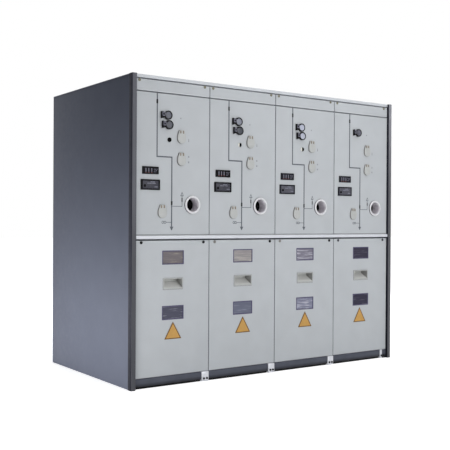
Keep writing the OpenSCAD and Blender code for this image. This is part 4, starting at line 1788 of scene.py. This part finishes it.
def flat_ring(name, centre, outer, inner, out, sides):
    """Flat turned ring on the door, still open."""
    profile = ((outer, -LINE_SUNK), (outer, out), (inner, out), (inner, -LINE_SUNK))
    return turned(name, centre, profile, sides)


stem = strip_on_door("stem", STEM_X, LOOP_Z - STEM_W / 2, LINE_RIGHT - HALF_W, LOOP_Z + STEM_W / 2)
draw_on(stem, lambda face: face.normal.x < -STRAIGHT, (-STEM_W, 0, 0))
let_go()
loops = []
for x, out in zip(LOOP_X, LOOP_T):
    loop_at = Vector((seams[0] + x, door_y, LOOP_Z))
    loops.append(flat_ring("loop", loop_at, LOOP_OUT, LOOP_IN, out, 32))
    close_round(loops[-1])
symbol = flat_ring("symbol", SYMBOL_AT, SYMBOL_OUT, SYMBOL_IN, LINE_T, 3)
bpy.ops.mesh.select_all(action="SELECT")
bpy.ops.transform.resize(value=(SYMBOL_SLIM, 1, 1), center_override=SYMBOL_AT)
close_round(symbol)
diagram = as_one([line, arrow, branch, symbol, stem, *loops], "mimic_line")
row_of(diagram, "mimic_line", "door_paint", [line_grey])

# %% Small prints and dark marks
print_faint = coat(
    "print_faint", tone(148, 151, 157), (0.45, 0.60), spread=0.08, cloud=60, Specular_IOR_Level=0.2)
mark_dark = coat(
    "mark_dark", tone(12, 12, 14), (0.45, 0.60), spread=0.08, cloud=60, Specular_IOR_Level=0.2)
PRINTS = (
    (296 * MM, 1195 * MM, 4 * MM, 15 * MM), (296 * MM, 1115 * MM, 7 * MM, 8 * MM),
    (296 * MM, 1088 * MM, 7 * MM, 9 * MM), (250 * MM, 1300 * MM, 6 * MM, 7 * MM))
PRINT_SOFT = 0.2 * MM
MARKS = (
    (LINE_LEFT, 1372 * MM, 9.5 * MM, 20 * MM), (LINE_RIGHT, 886 * MM, 9 * MM, 19 * MM),
    (BRANCH_X, 903 * MM, 5.5 * MM, 18 * MM))
MARK_T = LINE_T * 1.6


def plates(name, places, thick, soft, finish):
    """Thin plates at places on the first door, as one piece for each unit."""
    made = []
    for x, z, width, height in places:
        left, foot = seams[0] + x - width / 2, z - height / 2
        made.append(small_bar(
            "plate", (left, door_y - thick, foot), (left + width, door_y + LINE_SUNK, foot + height), soft))
    row_of(as_one(made, name), name, "door_paint", [finish])


plates("mimic_prints", PRINTS, LINE_T, PRINT_SOFT, print_faint)
plates("mimic_marks", MARKS, MARK_T, MARK_SOFT, mark_dark)

# %% [markdown]
# ## Base runners
# The units stand on zinc-plated channels whose ends show between the kick plates. Each end is held
# by two dark bolts. The channel is a soft copy of its solid, and the bolts are six-sided heads.

# %% Runners and bolts
runner_zinc = coat(
    "runner_zinc", tone(200, 202, 208), (0.30, 0.46), spread=0.08, cloud=60, peel=900, Metallic=0.35)
soft_copy("base_runners", "runner_channels", "runner_zinc", runner_zinc, SHEET_FOLD)
runner_boxes = shells("base_runners")
BOLT_UP = 15 * MM
BOLT_R = 6 * MM
BOLT_OUT, BOLT_DEEP = 3 * MM, 3.2 * MM
BOLT_FACE = (0.7 * MM, 0.5 * MM)
BOLT_SHARES = (0.30, 0.74)


def bolt_head(name, centre):
    """Six-sided head with a chamfered face."""
    piece = start_round(name, centre, BOLT_R, BOLT_DEEP, 6)
    pick(piece, "FACE", looks_out)
    inset_by(BOLT_FACE)
    let_go()
    return piece


bolts = []
for low, high in runner_boxes:
    for share in BOLT_SHARES:
        bolt_x = low.x + (high.x - low.x) * share
        bolts.append(bolt_head("bolt", (bolt_x, low.y - BOLT_OUT, BOLT_UP)))
done(as_one(bolts, "runner_bolts"), "runner_zinc", [black_zinc])

# %% [markdown]
# ## Rear and roof screws
# The back and the top aren't seen in the photograph, so they are finished plainly: flat plates held
# by zinc screws along their edges. The same pan head is turned to the back or to the top.

# %% Screws on the unseen sides
EDGE_IN = 14 * MM
PLATE_HEAD = (5 * MM, 3 * MM)
REAR_SCREWS, ROOF_SCREWS = 6, 4


def spaced(low, high, count):
    """Places at even steps between two ends, in from the edge."""
    span = high - low - 2 * EDGE_IN
    return [low + EDGE_IN + span * step / (count - 1) for step in range(count)]


rear_places, roof_places = [], []
for low, high in shells("rear_plates"):
    for x in (low.x + EDGE_IN, high.x - EDGE_IN):
        rear_places += [(x, high.y, z) for z in spaced(low.z, high.z, REAR_SCREWS)]
for low, high in shells("roof_plates"):
    for x in (low.x + EDGE_IN, high.x - EDGE_IN):
        roof_places += [(x, y, high.z) for y in spaced(low.y, high.y, ROOF_SCREWS)]
to_back = Matrix.Rotation(radians(180), 4, "Z")
to_top = Matrix.Rotation(radians(-90), 4, "X")
screws_at("rear_screws", *PLATE_HEAD, rear_places, "rear_paint", bright_zinc, to_back)
screws_at("roof_screws", *PLATE_HEAD, roof_places, "roof_paint", bright_zinc, to_top)
